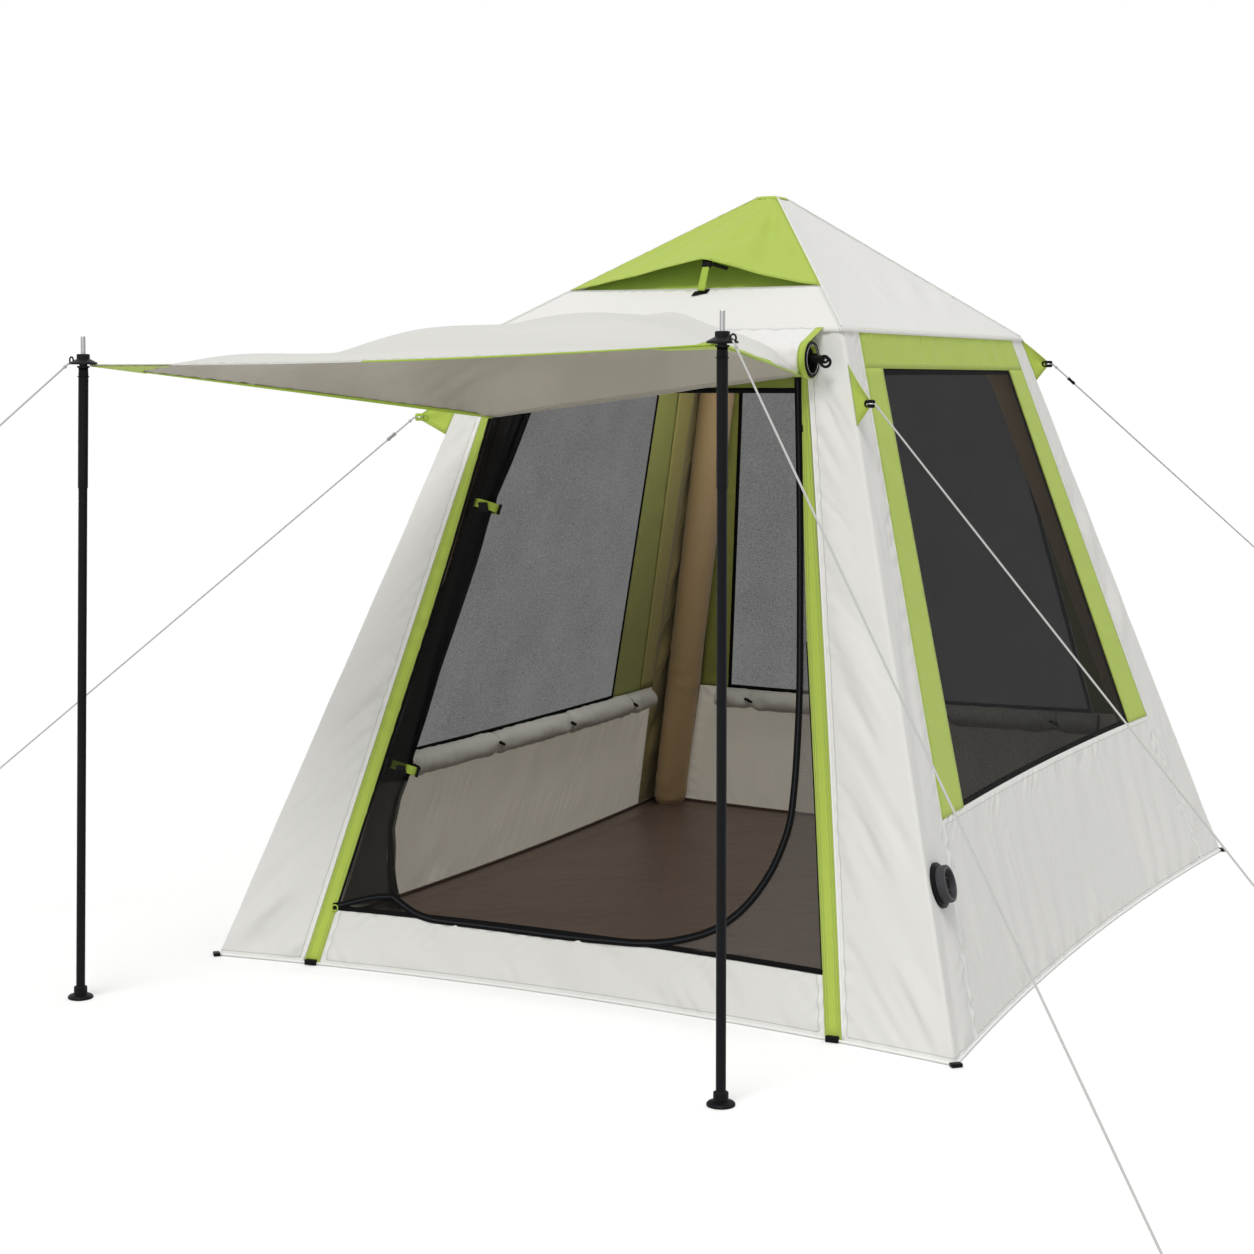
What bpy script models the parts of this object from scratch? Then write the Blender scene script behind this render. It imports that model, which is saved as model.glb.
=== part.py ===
"""Inflatable gazebo tent with a propped awning, in metres, +Z up, front towards -Y.

The origin is the middle of the ground sheet's underside. The cabin is a four-sided
frustum of fabric under a hipped roof, carried by four inflated beams. Every fabric
panel is cut from the same wall surface, so neighbouring panels share their seams.
"""
import math

import bmesh
import bpy
from mathutils import Matrix, Vector

# Cabin
BASE_HALF_X = 1.100
BASE_HALF_Y = 1.375
EAVE_HALF_X = 0.555
EAVE_HALF_Y = 0.775
EAVE_HEIGHT = 1.777
APEX_HEIGHT = 2.200
APEX_FLAT_HALF = 0.020
FRONT_HEM_BOW = 0.095
SIDE_HEM_BOW = 0.060
SKIN = 0.0020
SEAM = 0.0004
GAP = 0.0003
HEM_LIFT = 0.0008
EAVE_DROP = 0.0024
RIDGE_INSET = 0.0031

# Front wall
FRONT_STRIP_OUTER_AT_HEM = 0.803
FRONT_STRIP_WIDTH = 0.046
FRONT_STRIP_LEAN = 0.180
SILL_HEIGHT = 0.160
DOOR_TOP = 1.600
ZIP_HALF_AT_HEM = 0.677
ZIP_LEAN = 0.130
ZIP_BOTTOM = 0.175
ZIP_CORNER_RIGHT = 0.345
ZIP_CORNER_LEFT = 0.200
ZIP_RADIUS = 0.0040
SLIDER_LENGTH = 0.024
SLIDER_THICKNESS = 0.006
SLIDER_DROP = 0.188

# Windows of the side and back walls
WINDOW_SILL = 0.512
WINDOW_TOP = 1.665
SIDE_WINDOW_HALF_AT_SILL = 0.812
SIDE_WINDOW_LEAN = 0.220
SIDE_FRAME_HALF_AT_SILL = 1.003
SIDE_FRAME_LEAN = 0.270
SIDE_SLEEVE_LEAN = 0.340
BACK_WINDOW_HALF_AT_SILL = 0.693
BACK_WINDOW_LEAN = 0.184
BACK_FRAME_HALF_AT_SILL = 0.815
BACK_FRAME_LEAN = 0.235
BACK_SLEEVE_LEAN = 0.300

# Roof vent
VENT_SHARE = 0.290
VENT_ARCH = 0.082
VENT_PANEL_DROP = 0.012
PROP_RADIUS = 0.0050
PROP_PLACE = 0.045
PROP_FOOT_DROP = 0.042
PROP_INSET = 0.008
PROP_EASE = 0.0010

# Air frame
BEAM_RADIUS = 0.062
BEAM_CORNER_OFFSET = 0.148
BEAM_EAVE_OFFSET = 0.1118
RAFTER_DROP = 0.084
FOOT_RISE = 0.034
KNEE_HEIGHT = 1.715
KNEE_BEND = 0.120
HUB_HALF = 0.100

# Ground sheet
FLOOR_THICKNESS = 0.0030
FLOOR_MARGIN = 0.012
FLOOR_UPSTAND = 0.060

# Header tube with its end cap and plug
TUBE_RADIUS = 0.047
TUBE_WALL = 0.0025
TUBE_HEIGHT = 1.688
TUBE_LEFT = -0.470
TUBE_RIGHT = 0.490
CAP_LENGTH = 0.012
CAP_LIP = 0.006
CAP_DISC = 0.004
CAP_DISC_DEPTH = 0.004
CAP_SLEEVE = 0.020
PLUG_RADIUS = 0.011
PLUG_LENGTH = 0.048
PLUG_SUNK = 0.012
PLUG_TAB = 0.024
PLUG_TAB_HOLE = 0.0055
PLUG_TAB_THICKNESS = 0.0070

# Awning and its poles
AWNING_FRONT = -1.877
AWNING_LEFT = -1.100
AWNING_RIGHT = 0.714
HUB_LEFT_HEIGHT = 1.672
HUB_RIGHT_HEIGHT = 1.712
AWNING_SEAT_ANGLE = 62.0
AWNING_REAR_LEFT = -0.490
AWNING_REAR_RIGHT = 0.480
AWNING_REAR_LEFT_HEIGHT = 1.525
AWNING_CROWN = 0.235
AWNING_CROWN_PLACE = 0.900
AWNING_FRONT_SAG = 0.014
AWNING_THICKNESS = 0.0020
POLE_RADIUS = 0.0130
POLE_WALL = 0.0010
POLE_FIT = 0.0004
POLE_UPPER = 0.300
POLE_OVERLAP = 0.050
POLE_LEFT_LEAN = 0.035
FOOT_RADIUS = 0.033
FOOT_HEIGHT = 0.008
FOOT_COLLAR_RADIUS = 0.0175
FOOT_COLLAR_HEIGHT = 0.030
CONE_RADIUS = 0.036
CONE_TOP_RADIUS = 0.017
CONE_HEIGHT = 0.028
CONE_RIM = 0.0055
HUB_EASE = 0.0008
COLLAR_RADIUS = 0.016
COLLAR_HEIGHT = 0.008
NECK_RADIUS = 0.0105
SPIKE_RADIUS = 0.0062
SPIKE_LENGTH = 0.046

# Corner tabs as heights of bottom, tip and top and the reach, then rings and guy ropes
TAB_FRONT_LEFT = (1.475, 1.525, 1.635, 0.090)
TAB_FRONT_RIGHT = (1.511, 1.570, 1.675, 0.066)
TAB_BACK = (1.633, 1.687, 1.770, 0.060)
TAB_TIP_HALF = 0.012
TAB_RIM = 0.004
TAB_THICKNESS = 0.0030
TAB_HOLE = 0.0065
RING_RADIUS = 0.0120
RING_WIRE = 0.0016
ROPE_RADIUS = 0.0025
ROPE_ANCHOR_POLE_LEFT = (-3.100, -2.460)
ROPE_ANCHOR_FRONT_LEFT = (-2.450, -1.550)
ROPE_ANCHOR_POLE_RIGHT = (1.920, -2.500)
ROPE_ANCHOR_FRONT_RIGHT = (2.410, -1.850)
ROPE_ANCHOR_BACK_RIGHT = (2.100, 2.390)
ROPE_SHARE_POLE_LEFT = 0.140
ROPE_SHARE_FRONT_LEFT = 0.735
ROPE_SHARE_POLE_RIGHT = 0.968
ROPE_SHARE_FRONT_RIGHT = 0.690
ROPE_SHARE_BACK_RIGHT = 0.395
TENSIONER_LENGTH = 0.030
TENSIONER_RADIUS = 0.0055
TENSIONER_FIT = 0.0004
TENSIONER_PLACE = 0.090

# Valve on the front right sleeve
VALVE_Y = -1.165
VALVE_HEIGHT = 0.380
VALVE_FLANGE_RADIUS = 0.057
VALVE_FLANGE_THICKNESS = 0.010
VALVE_SEAT = 0.0006
VALVE_BARREL_RADIUS = 0.047
VALVE_BARREL_LENGTH = 0.022
VALVE_BARREL_WALL = 0.010
VALVE_CORE_RADIUS = 0.020
VALVE_CORE_LENGTH = 0.010
VALVE_CORE_TRAVEL = 0.006
VALVE_RECESS = 0.006
VALVE_STEM_RADIUS = 0.006
VALVE_STEM_HOLE = 0.0085

# Rolled window curtains
ROLL_RADIUS = 0.041
ROLL_HEIGHT = 0.425
ROLL_CINCH = 0.72
SIDE_ROLL_HALF = 0.900
BACK_ROLL_HALF = 0.720

# Gathered mesh door with its tie-backs
GATHER_TOP = 1.585
GATHER_BOTTOM = 0.190
GATHER_FOLDS = 6
GATHER_HALF = 0.042
GATHER_DEPTH = 0.036
GATHER_PLACE_TOP = 0.436
GATHER_PLACE_UPPER = 0.497
GATHER_PLACE_LOWER = 0.632
GATHER_PLACE_FOOT = 0.628
FOLD_PEAK = 1.07
FOLD_DEPTH = 0.13
STRAP_UPPER = 1.270
STRAP_LOWER = 0.535
STRAP_WIDTH = 0.024
STRAP_THICKNESS = 0.0020
STRAP_EASE = 0.0008
TOGGLE_LENGTH = 0.030
TOGGLE_RADIUS = 0.0050

# Hem feet
CLIP_SIZE = (0.024, 0.014, 0.009)
FOOT_LIFT = 0.0006


def new_collection(name, parent=None):
    collection = bpy.data.collections.new(name)
    (parent or bpy.context.scene.collection).children.link(collection)
    return collection


def clear_scene():
    for thing in list(bpy.data.objects):
        bpy.data.objects.remove(thing, do_unlink=True)


def material(name, colour, roughness, metallic=0.0):
    made = bpy.data.materials.new(name)
    made.use_nodes = True
    shader = made.node_tree.nodes["Principled BSDF"]
    shader.inputs["Base Color"].default_value = (*colour, 1.0)
    shader.inputs["Roughness"].default_value = roughness
    shader.inputs["Metallic"].default_value = metallic
    return made


clear_scene()
GAZEBO = new_collection("inflatable_gazebo")
CUTTERS = new_collection("cutters")
WHITE = material("white_polyester", (0.80, 0.80, 0.77), 0.75)
GREEN = material("green_polyester", (0.42, 0.55, 0.09), 0.70)
BEIGE = material("coated_awning", (0.72, 0.71, 0.68), 0.75)
MESH = material("black_netting", (0.03, 0.03, 0.03), 0.85)
TAN = material("beam_cover", (0.19, 0.13, 0.07), 0.80)
BROWN = material("floor_polythene", (0.07, 0.05, 0.04), 0.60)
BLACK = material("black_plastic", (0.012, 0.012, 0.012), 0.45)
GREY = material("grey_plastic", (0.10, 0.10, 0.11), 0.45)
POLE = material("powder_coated_steel", (0.015, 0.015, 0.017), 0.40, 0.6)
STEEL = material("bright_steel", (0.45, 0.45, 0.46), 0.30, 1.0)
ROPE = material("white_cord", (0.80, 0.80, 0.80), 0.80)
ROLLED = material("rolled_curtain", (0.38, 0.38, 0.35), 0.80)


def keep(made, name, finish):
    """Name an object for its piece, give it its material and file it."""
    made.name = name
    made.data.name = name
    made.data.materials.clear()
    made.data.materials.append(finish)
    for collection in list(made.users_collection):
        collection.objects.unlink(made)
    GAZEBO.objects.link(made)
    return made


def smooth(made, angle=40.0):
    made.data.shade_smooth()
    made.data.set_sharp_from_angle(angle=math.radians(angle))
    return made


def mesh_object(bm, name, finish):
    mesh = bpy.data.meshes.new(name)
    bm.to_mesh(mesh)
    bm.free()
    made = bpy.data.objects.new(name, mesh)
    GAZEBO.objects.link(made)
    return keep(made, name, finish)


def blend(a, b, share):
    return a + (b - a) * share


# The wall surface

def rise(z):
    return z / EAVE_HEIGHT


def half_x(z):
    return blend(BASE_HALF_X, EAVE_HALF_X, rise(z))


def half_y(z):
    return blend(BASE_HALF_Y, EAVE_HALF_Y, rise(z))


def wall(side, a, z, depth=0.0):
    """A point of a wall: a runs across it, z is height, depth goes inwards.

    Each wall leans straight from the hem to the eave. Its hem is bowed in by a
    parabola that fades to nothing at the corners and at the eave.
    """
    if side in ("front", "back"):
        across, out, bow = half_x(z), half_y(z), FRONT_HEM_BOW
    else:
        across, out, bow = half_y(z), half_x(z), SIDE_HEM_BOW
    out -= bow * (1.0 - (a / across) ** 2) * (1.0 - rise(z)) + depth
    if side == "front":
        return Vector((a, -out, z))
    if side == "back":
        return Vector((-a, out, z))
    if side == "right":
        return Vector((out, a, z))
    return Vector((-out, -a, z))


def wall_normal(side, a, z):
    """The wall's outward direction, from two short steps along it."""
    step = 0.01
    along = wall(side, a + step, z) - wall(side, a - step, z)
    up = wall(side, a, z + step) - wall(side, a, z - step)
    return along.cross(up).normalized()


def front_strip_outer(z):
    return FRONT_STRIP_OUTER_AT_HEM - FRONT_STRIP_LEAN * z


def front_strip_inner(z):
    return front_strip_outer(z) - FRONT_STRIP_WIDTH


def zip_half(z):
    return ZIP_HALF_AT_HEM - ZIP_LEAN * z


def side_frame(z):
    if z >= WINDOW_SILL:
        return SIDE_FRAME_HALF_AT_SILL - SIDE_FRAME_LEAN * (z - WINDOW_SILL)
    return SIDE_FRAME_HALF_AT_SILL + SIDE_SLEEVE_LEAN * (WINDOW_SILL - z)


def side_window(z):
    return SIDE_WINDOW_HALF_AT_SILL - SIDE_WINDOW_LEAN * (z - WINDOW_SILL)


def back_frame(z):
    if z >= WINDOW_SILL:
        return BACK_FRAME_HALF_AT_SILL - BACK_FRAME_LEAN * (z - WINDOW_SILL)
    return BACK_FRAME_HALF_AT_SILL + BACK_SLEEVE_LEAN * (WINDOW_SILL - z)


def back_window(z):
    return BACK_WINDOW_HALF_AT_SILL - BACK_WINDOW_LEAN * (z - WINDOW_SILL)


# Fabric panels

def steps(low, high, count):
    return [blend(low, high, i / count) for i in range(count + 1)]


def shaped_grid(columns, rows, place, skip=()):
    """A Blender grid whose vertex (i, j) is moved to place(i, j), less some cells."""
    bm = bmesh.new()
    bmesh.ops.create_grid(bm, x_segments=columns, y_segments=rows, size=1.0)
    for vert in bm.verts:
        vert.co.z = 0.0
    index = {}
    for vert in bm.verts:
        i = round((vert.co.x + 1.0) / 2.0 * columns)
        j = round((vert.co.y + 1.0) / 2.0 * rows)
        index[vert] = (i, j)
    doomed = []
    for face in bm.faces:
        low_i = min(index[vert][0] for vert in face.verts)
        low_j = min(index[vert][1] for vert in face.verts)
        if (low_i, low_j) in skip:
            doomed.append(face)
    for vert, (i, j) in index.items():
        vert.co = place(i, j)
    bmesh.ops.delete(bm, geom=doomed, context="FACES")
    return bm


def face_outwards(bm, centre):
    """Turn an open sheet so that its faces look away from a point inside it."""
    bm.normal_update()
    facing = sum((face.calc_center_median() - centre).dot(face.normal) * face.calc_area()
                 for face in bm.faces)
    if facing < 0.0:
        bmesh.ops.reverse_faces(bm, faces=bm.faces[:])


def sheet(bm, name, finish, thickness=SKIN, centre=Vector((0.0, 0.0, 0.8))):
    """Thicken an open sheet inwards into one closed panel."""
    face_outwards(bm, centre)
    made = mesh_object(bm, name, finish)
    solid = made.modifiers.new("thickness", "SOLIDIFY")
    solid.thickness = thickness
    solid.offset = -1.0
    solid.use_even_offset = True
    return made


def wall_panel(name, side, borders, heights, finish, skip=(), depth=0.0):
    """A panel between upright borders; each border gives its place across at a height."""
    def place(i, j):
        z = heights[j]
        return wall(side, borders[i](z), z, depth)
    bm = shaped_grid(len(borders) - 1, len(heights) - 1, place, skip)
    return sheet(bm, name, finish)


def between(low, high, count, inset_low=SEAM, inset_high=SEAM):
    """Borders from one border line to another, each edge drawn in by a seam gap."""
    def border(share):
        return lambda z: blend(low(z) + inset_low, high(z) - inset_high, share)
    return [border(i / count) for i in range(count + 1)]


def minus(border):
    return lambda z: -border(z)


WALL_TOP = EAVE_HEIGHT - EAVE_DROP


def build_lower_walls():
    for side, frame in (("right", side_frame), ("left", side_frame), ("back", back_frame)):
        borders = between(minus(frame), frame, 8)
        heights = steps(HEM_LIFT, WINDOW_SILL - SEAM, 4)
        wall_panel("lower_wall_" + side, side, borders, heights, WHITE)


def build_window_frames():
    """Green surrounds: a strip each side of the window and a band over it, in one piece."""
    for side, frame, window in (("right", side_frame, side_window),
                                ("left", side_frame, side_window),
                                ("back", back_frame, back_window)):
        left = between(minus(frame), minus(window), 1, SEAM, 0.0)
        middle = between(minus(window), window, 6, 0.0, 0.0)[1:-1]
        right = between(window, frame, 1, 0.0, SEAM)
        borders = left + middle + right
        heights = steps(WINDOW_SILL, WINDOW_TOP, 5) + [WALL_TOP]
        open_cells = {(i, j) for i in range(1, len(borders) - 2) for j in range(5)}
        wall_panel("window_frame_" + side, side, borders, heights, GREEN, open_cells)


def build_window_nets():
    for side, window in (("right", side_window), ("left", side_window), ("back", back_window)):
        borders = between(minus(window), window, 6)
        heights = steps(WINDOW_SILL, WINDOW_TOP - SEAM, 5)
        wall_panel("window_net_" + side, side, borders, heights, MESH)


def build_front():
    """The door's green surround, the sill under it and the fixed net outside the zip."""
    outer, inner = front_strip_outer, front_strip_inner
    left = between(minus(outer), minus(inner), 1, SEAM, 0.0)
    middle = between(minus(inner), inner, 6, 0.0, 0.0)[1:-1]
    right = between(inner, outer, 1, 0.0, SEAM)
    borders = left + middle + right
    heights = [HEM_LIFT] + steps(SILL_HEIGHT, DOOR_TOP, 6) + [WALL_TOP]
    open_cells = {(i, j) for i in range(1, len(borders) - 2) for j in range(7)}
    wall_panel("door_frame", "front", borders, heights, GREEN, open_cells)
    wall_panel("door_sill", "front", between(minus(inner), inner, 8),
               steps(HEM_LIFT, SILL_HEIGHT - SEAM, 2), WHITE)


def zip_line(share, inset=0.0):
    """The door zip in the front wall: down the left, round two corners, up the right.

    inset moves the line towards the opening.
    """
    corners = {-1: ZIP_CORNER_LEFT - inset, 1: ZIP_CORNER_RIGHT - inset}
    bottom = ZIP_BOTTOM + inset
    top = DOOR_TOP
    if share < 0.5:
        sign, run = -1, 1.0 - 2.0 * share
    else:
        sign, run = 1, 2.0 * share - 1.0
    radius = corners[sign]
    centre_z = bottom + radius
    centre_a = zip_half(centre_z) - inset - radius
    if run < 0.25:
        return sign * centre_a * run / 0.25, bottom
    if run < 0.60:
        angle = (run - 0.25) / 0.35 * math.pi / 2.0
        return sign * (centre_a + radius * math.sin(angle)), centre_z - radius * math.cos(angle)
    z = blend(centre_z, top, (run - 0.60) / 0.40)
    return sign * (zip_half(z) - inset), z


def net_edge(share):
    """The outer edge of the fixed net, matched to zip_line share by share."""
    a, z = zip_line(share)
    sign = -1.0 if share < 0.5 else 1.0
    run = abs(2.0 * share - 1.0)
    low = SILL_HEIGHT
    if run < 0.25:
        return a, low
    side = front_strip_inner(low) - SEAM
    corner_start, corner_mid, corner_end = 0.25, 0.425, 0.60
    start_a = abs(zip_line(0.5 + sign * corner_start / 2.0)[0])
    end_z = zip_line(0.5 + sign * corner_end / 2.0)[1]
    if run < corner_mid:
        share_here = (run - corner_start) / (corner_mid - corner_start)
        return sign * blend(start_a, side, share_here), low
    if run < corner_end:
        share_here = (run - corner_mid) / (corner_end - corner_mid)
        z = blend(low, end_z, share_here)
    return sign * (front_strip_inner(z) - SEAM), z


ZIP_STEPS = 40


def build_fixed_net():
    def place(i, j):
        share = i / ZIP_STEPS
        inner = zip_line(share)
        outer = net_edge(share)
        a = blend(inner[0], outer[0], j / 2)
        z = blend(inner[1], outer[1], j / 2)
        return wall("front", a, min(z, DOOR_TOP - SEAM))
    bm = shaped_grid(ZIP_STEPS, 2, place)
    sheet(bm, "door_fixed_net", MESH)


def tube(name, points, radius, finish, resolution=2, cyclic=False):
    """A round tube along points, as a poly curve with filled caps."""
    curve = bpy.data.curves.new(name, "CURVE")
    curve.dimensions = "3D"
    curve.bevel_depth = radius
    curve.bevel_resolution = resolution
    curve.use_fill_caps = True
    spline = curve.splines.new("POLY")
    spline.points.add(len(points) - 1)
    for slot, point in zip(spline.points, points):
        slot.co = (*point, 1.0)
    spline.use_cyclic_u = cyclic
    made = bpy.data.objects.new(name, curve)
    GAZEBO.objects.link(made)
    return keep(made, name, finish)


def build_zip():
    inset = ZIP_RADIUS + SEAM
    points = []
    for i in range(ZIP_STEPS + 1):
        a, z = zip_line(i / ZIP_STEPS, inset)
        points.append(wall("front", a, min(z, DOOR_TOP - 2 * SEAM), SKIN / 2.0))
    tube("door_zip", points, ZIP_RADIUS, BLACK)


def turned(name, profile, finish, place=Matrix.Identity(4), segments=24):
    """A turned piece: the profile, as (radius, height) pairs, spun about its own Z."""
    mesh = bpy.data.meshes.new(name)
    points = [(radius, 0.0, height) for radius, height in profile]
    mesh.from_pydata(points, [(i, i + 1) for i in range(len(points) - 1)], [])
    made = bpy.data.objects.new(name, mesh)
    GAZEBO.objects.link(made)
    keep(made, name, finish)
    made.matrix_world = place
    screw = made.modifiers.new("turn", "SCREW")
    screw.axis = "Z"
    screw.steps = segments
    screw.render_steps = segments
    screw.use_merge_vertices = True
    screw.merge_threshold = 0.00005
    screw.use_smooth_shade = True
    return made


def facing(point, direction, up=Vector((0.0, 0.0, 1.0))):
    """A frame at a point whose Z runs along a direction."""
    z = direction.normalized()
    x = up.cross(z)
    if x.length < 1e-6:
        x = Vector((1.0, 0.0, 0.0))
    x.normalize()
    y = z.cross(x)
    return Matrix.Translation(point) @ Matrix((x, y, z)).transposed().to_4x4()


def block(name, size, finish, place, bevel=0.0):
    bpy.ops.mesh.primitive_cube_add(size=1.0)
    made = bpy.context.active_object
    for vert in made.data.vertices:
        vert.co = [vert.co[k] * size[k] for k in range(3)]
    keep(made, name, finish)
    made.matrix_world = place
    if bevel > 0.0:
        edge = made.modifiers.new("edges", "BEVEL")
        edge.width = bevel
        edge.segments = 2
    return made


def build_zip_slider():
    """A moulded slider that straddles the zip's outer side, parked near the top right."""
    inset = ZIP_RADIUS + SEAM
    height = TUBE_HEIGHT - SLIDER_DROP
    normal = wall_normal("front", zip_half(height) - inset, height)
    low = wall("front", zip_half(height - 0.1) - inset, height - 0.1, SKIN / 2.0)
    here = wall("front", zip_half(height) - inset, height, SKIN / 2.0)
    along = (here - low).normalized()
    centre = here + normal * (ZIP_RADIUS + GAP + SLIDER_THICKNESS / 2.0)
    side = along.cross(normal).normalized()
    frame = Matrix((side, along, side.cross(along))).transposed().to_4x4()
    block("zip_slider", (SLIDER_LENGTH / 2.0, SLIDER_LENGTH, SLIDER_THICKNESS), BLACK,
          Matrix.Translation(centre) @ frame, 0.0015)


# Corner sleeves

def build_sleeves():
    """White sleeves that wrap each corner, from the panel on one wall to the next."""
    heights = sorted({HEM_LIFT, WINDOW_SILL, WALL_TOP, *steps(0.15, WALL_TOP, 6)[:-1]})
    sides = {
        "front_right": ("front", front_strip_outer, 1, "right", side_frame, -1),
        "front_left": ("front", front_strip_outer, -1, "left", side_frame, 1),
        "back_right": ("back", back_frame, -1, "right", side_frame, 1),
        "back_left": ("back", back_frame, 1, "left", side_frame, -1),
    }
    for corner, (side_a, edge_a, sign_a, side_b, edge_b, sign_b) in sides.items():
        def place(i, j):
            z = heights[j]
            if i <= 2:
                a = blend(edge_a(z) + SEAM, half_x(z), i / 2)
                return wall(side_a, sign_a * a, z)
            a = blend(half_y(z), edge_b(z) + SEAM, (i - 2) / 2)
            return wall(side_b, sign_b * a, z)
        bm = shaped_grid(4, len(heights) - 1, place)
        made = sheet(bm, "corner_sleeve_" + corner, WHITE)
        sign_x = -1 if corner.endswith("left") else 1
        sign_y = -1 if corner.startswith("front") else 1
        sewn = made.modifiers.new("tab and foot", "BOOLEAN")
        sewn.operation = "UNION"
        sewn.object = tab_and_foot(sign_x, sign_y)
        if corner == "front_right":
            cut_valve_hole(made)


def valve_frame():
    normal = wall_normal("right", VALVE_Y, VALVE_HEIGHT)
    return facing(wall("right", VALVE_Y, VALVE_HEIGHT), normal)


def cut_valve_hole(sleeve):
    bpy.ops.mesh.primitive_cylinder_add(vertices=32, radius=VALVE_BARREL_RADIUS - 0.012 + GAP,
                                        depth=0.06)
    cutter = bpy.context.active_object
    cutter.name = "valve_hole_cutter"
    cutter.matrix_world = valve_frame()
    cutter.hide_render = True
    cutter.display_type = "WIRE"
    for collection in list(cutter.users_collection):
        collection.objects.unlink(cutter)
    CUTTERS.objects.link(cutter)
    cut = sleeve.modifiers.new("valve hole", "BOOLEAN")
    cut.operation = "DIFFERENCE"
    cut.object = cutter


def build_valve():
    """An air valve: a ring on the sleeve, a barrel that turns in it and a sprung core."""
    frame = valve_frame()
    neck = VALVE_BARREL_RADIUS - 0.012
    low = VALVE_SEAT
    high = VALVE_SEAT + VALVE_FLANGE_THICKNESS
    turned("valve_flange", [
        (neck + GAP, high), (VALVE_FLANGE_RADIUS - 0.004, high),
        (VALVE_FLANGE_RADIUS, high - 0.003), (VALVE_FLANGE_RADIUS, low),
        (neck + GAP, low), (neck + GAP, high)], BLACK, frame, 32)
    top = high + GAP + VALVE_BARREL_LENGTH
    bore = VALVE_BARREL_RADIUS - VALVE_BARREL_WALL
    seat = top - VALVE_RECESS - VALVE_CORE_LENGTH - VALVE_CORE_TRAVEL
    turned("valve_barrel", [
        (bore, top), (VALVE_BARREL_RADIUS - 0.003, top), (VALVE_BARREL_RADIUS, top - 0.003),
        (VALVE_BARREL_RADIUS, high + GAP), (neck, high + GAP), (neck, -0.004), (0.0, -0.004),
        (0.0, seat - VALVE_STEM_HOLE), (VALVE_STEM_RADIUS + GAP, seat - VALVE_STEM_HOLE),
        (VALVE_STEM_RADIUS + GAP, seat), (VALVE_CORE_RADIUS + 0.004, seat),
        (bore - 0.004, seat + 0.004), (bore, top)], GREY, frame, 32)
    bottom = seat + VALVE_CORE_TRAVEL + GAP
    core_top = bottom + VALVE_CORE_LENGTH - 0.002
    stem_end = seat - VALVE_STEM_HOLE + VALVE_CORE_TRAVEL + GAP
    turned("valve_core", [
        (0.0, core_top - 0.003), (VALVE_CORE_RADIUS - 0.008, core_top - 0.003),
        (VALVE_CORE_RADIUS - 0.006, core_top), (VALVE_CORE_RADIUS - 0.002, core_top),
        (VALVE_CORE_RADIUS, core_top - 0.002), (VALVE_CORE_RADIUS, bottom),
        (VALVE_STEM_RADIUS, bottom), (VALVE_STEM_RADIUS, stem_end), (0.0, stem_end)],
        BLACK, frame, 18)


# Roof

def roof_point(side, a, share, lift=0.0):
    """A point of a roof slope: a from -1 to 1 across it, share from the eave to the apex."""
    x = blend(EAVE_HALF_X, APEX_FLAT_HALF, share)
    y = blend(EAVE_HALF_Y, APEX_FLAT_HALF, share)
    z = blend(EAVE_HEIGHT, APEX_HEIGHT, share) + lift
    if side == "front":
        return Vector((a * x, -y, z))
    if side == "right":
        return Vector((x, a * y, z))
    if side == "back":
        return Vector((-a * x, y, z))
    return Vector((-x, -a * y, z))


def build_canopy():
    """The white roof: three full slopes and the lower part of the front one."""
    bm = bmesh.new()
    corners = [("front", -1), ("front", 1), ("right", 1), ("back", 1)]

    def ring(share):
        return [bm.verts.new(roof_point(side, a, share)) for side, a in corners]
    levels = [ring(share) for share in (0.0, VENT_SHARE, 0.65, 1.0)]
    for low, high in zip(levels, levels[1:]):
        for k in range(4):
            is_vent = k == 0 and low is not levels[0]
            if not is_vent:
                bm.faces.new((low[k], low[(k + 1) % 4], high[(k + 1) % 4], high[k]))
    bm.faces.new(levels[-1])
    sheet(bm, "roof_canopy", WHITE, centre=Vector((0.0, 0.0, 1.2)))


HOOD_COLUMNS = 12
HOOD_ROWS = 5


def hood_point(i, j):
    """The vent hood: the upper front slope, its lower edge lifted in an arch."""
    share = blend(VENT_SHARE + 0.004, 0.985, j / HOOD_ROWS)
    across = blend(-1.0, 1.0, i / HOOD_COLUMNS)
    width = blend(EAVE_HALF_X, APEX_FLAT_HALF, share)
    inset = 1.0 - RIDGE_INSET / width
    arch = VENT_ARCH * (1.0 - abs(across) ** 1.5) * (1.0 - j / HOOD_ROWS) ** 1.3
    return roof_point("front", across * inset, share, arch)


def build_vent():
    bm = shaped_grid(HOOD_COLUMNS, HOOD_ROWS, hood_point)
    sheet(bm, "vent_hood", GREEN, centre=Vector((0.0, 0.0, 1.2)))

    behind_panel = (SKIN + 2 * GAP) / math.cos(math.atan2(
        APEX_HEIGHT - EAVE_HEIGHT, EAVE_HALF_Y - APEX_FLAT_HALF))
    rows = ((VENT_SHARE - 0.020, behind_panel), (VENT_SHARE + 0.020, VENT_PANEL_DROP),
            (0.60, VENT_PANEL_DROP), (0.90, VENT_PANEL_DROP))

    def lining(i, j):
        share, drop = rows[j]
        width = blend(EAVE_HALF_X, APEX_FLAT_HALF, share)
        inset = 1.0 - VENT_PANEL_DROP / width
        return roof_point("front", blend(-1.0, 1.0, i / 4) * inset, share, -drop)
    bm = shaped_grid(4, 3, lining)
    sheet(bm, "vent_lining", GREEN, centre=Vector((0.0, 0.0, 1.2)))


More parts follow.
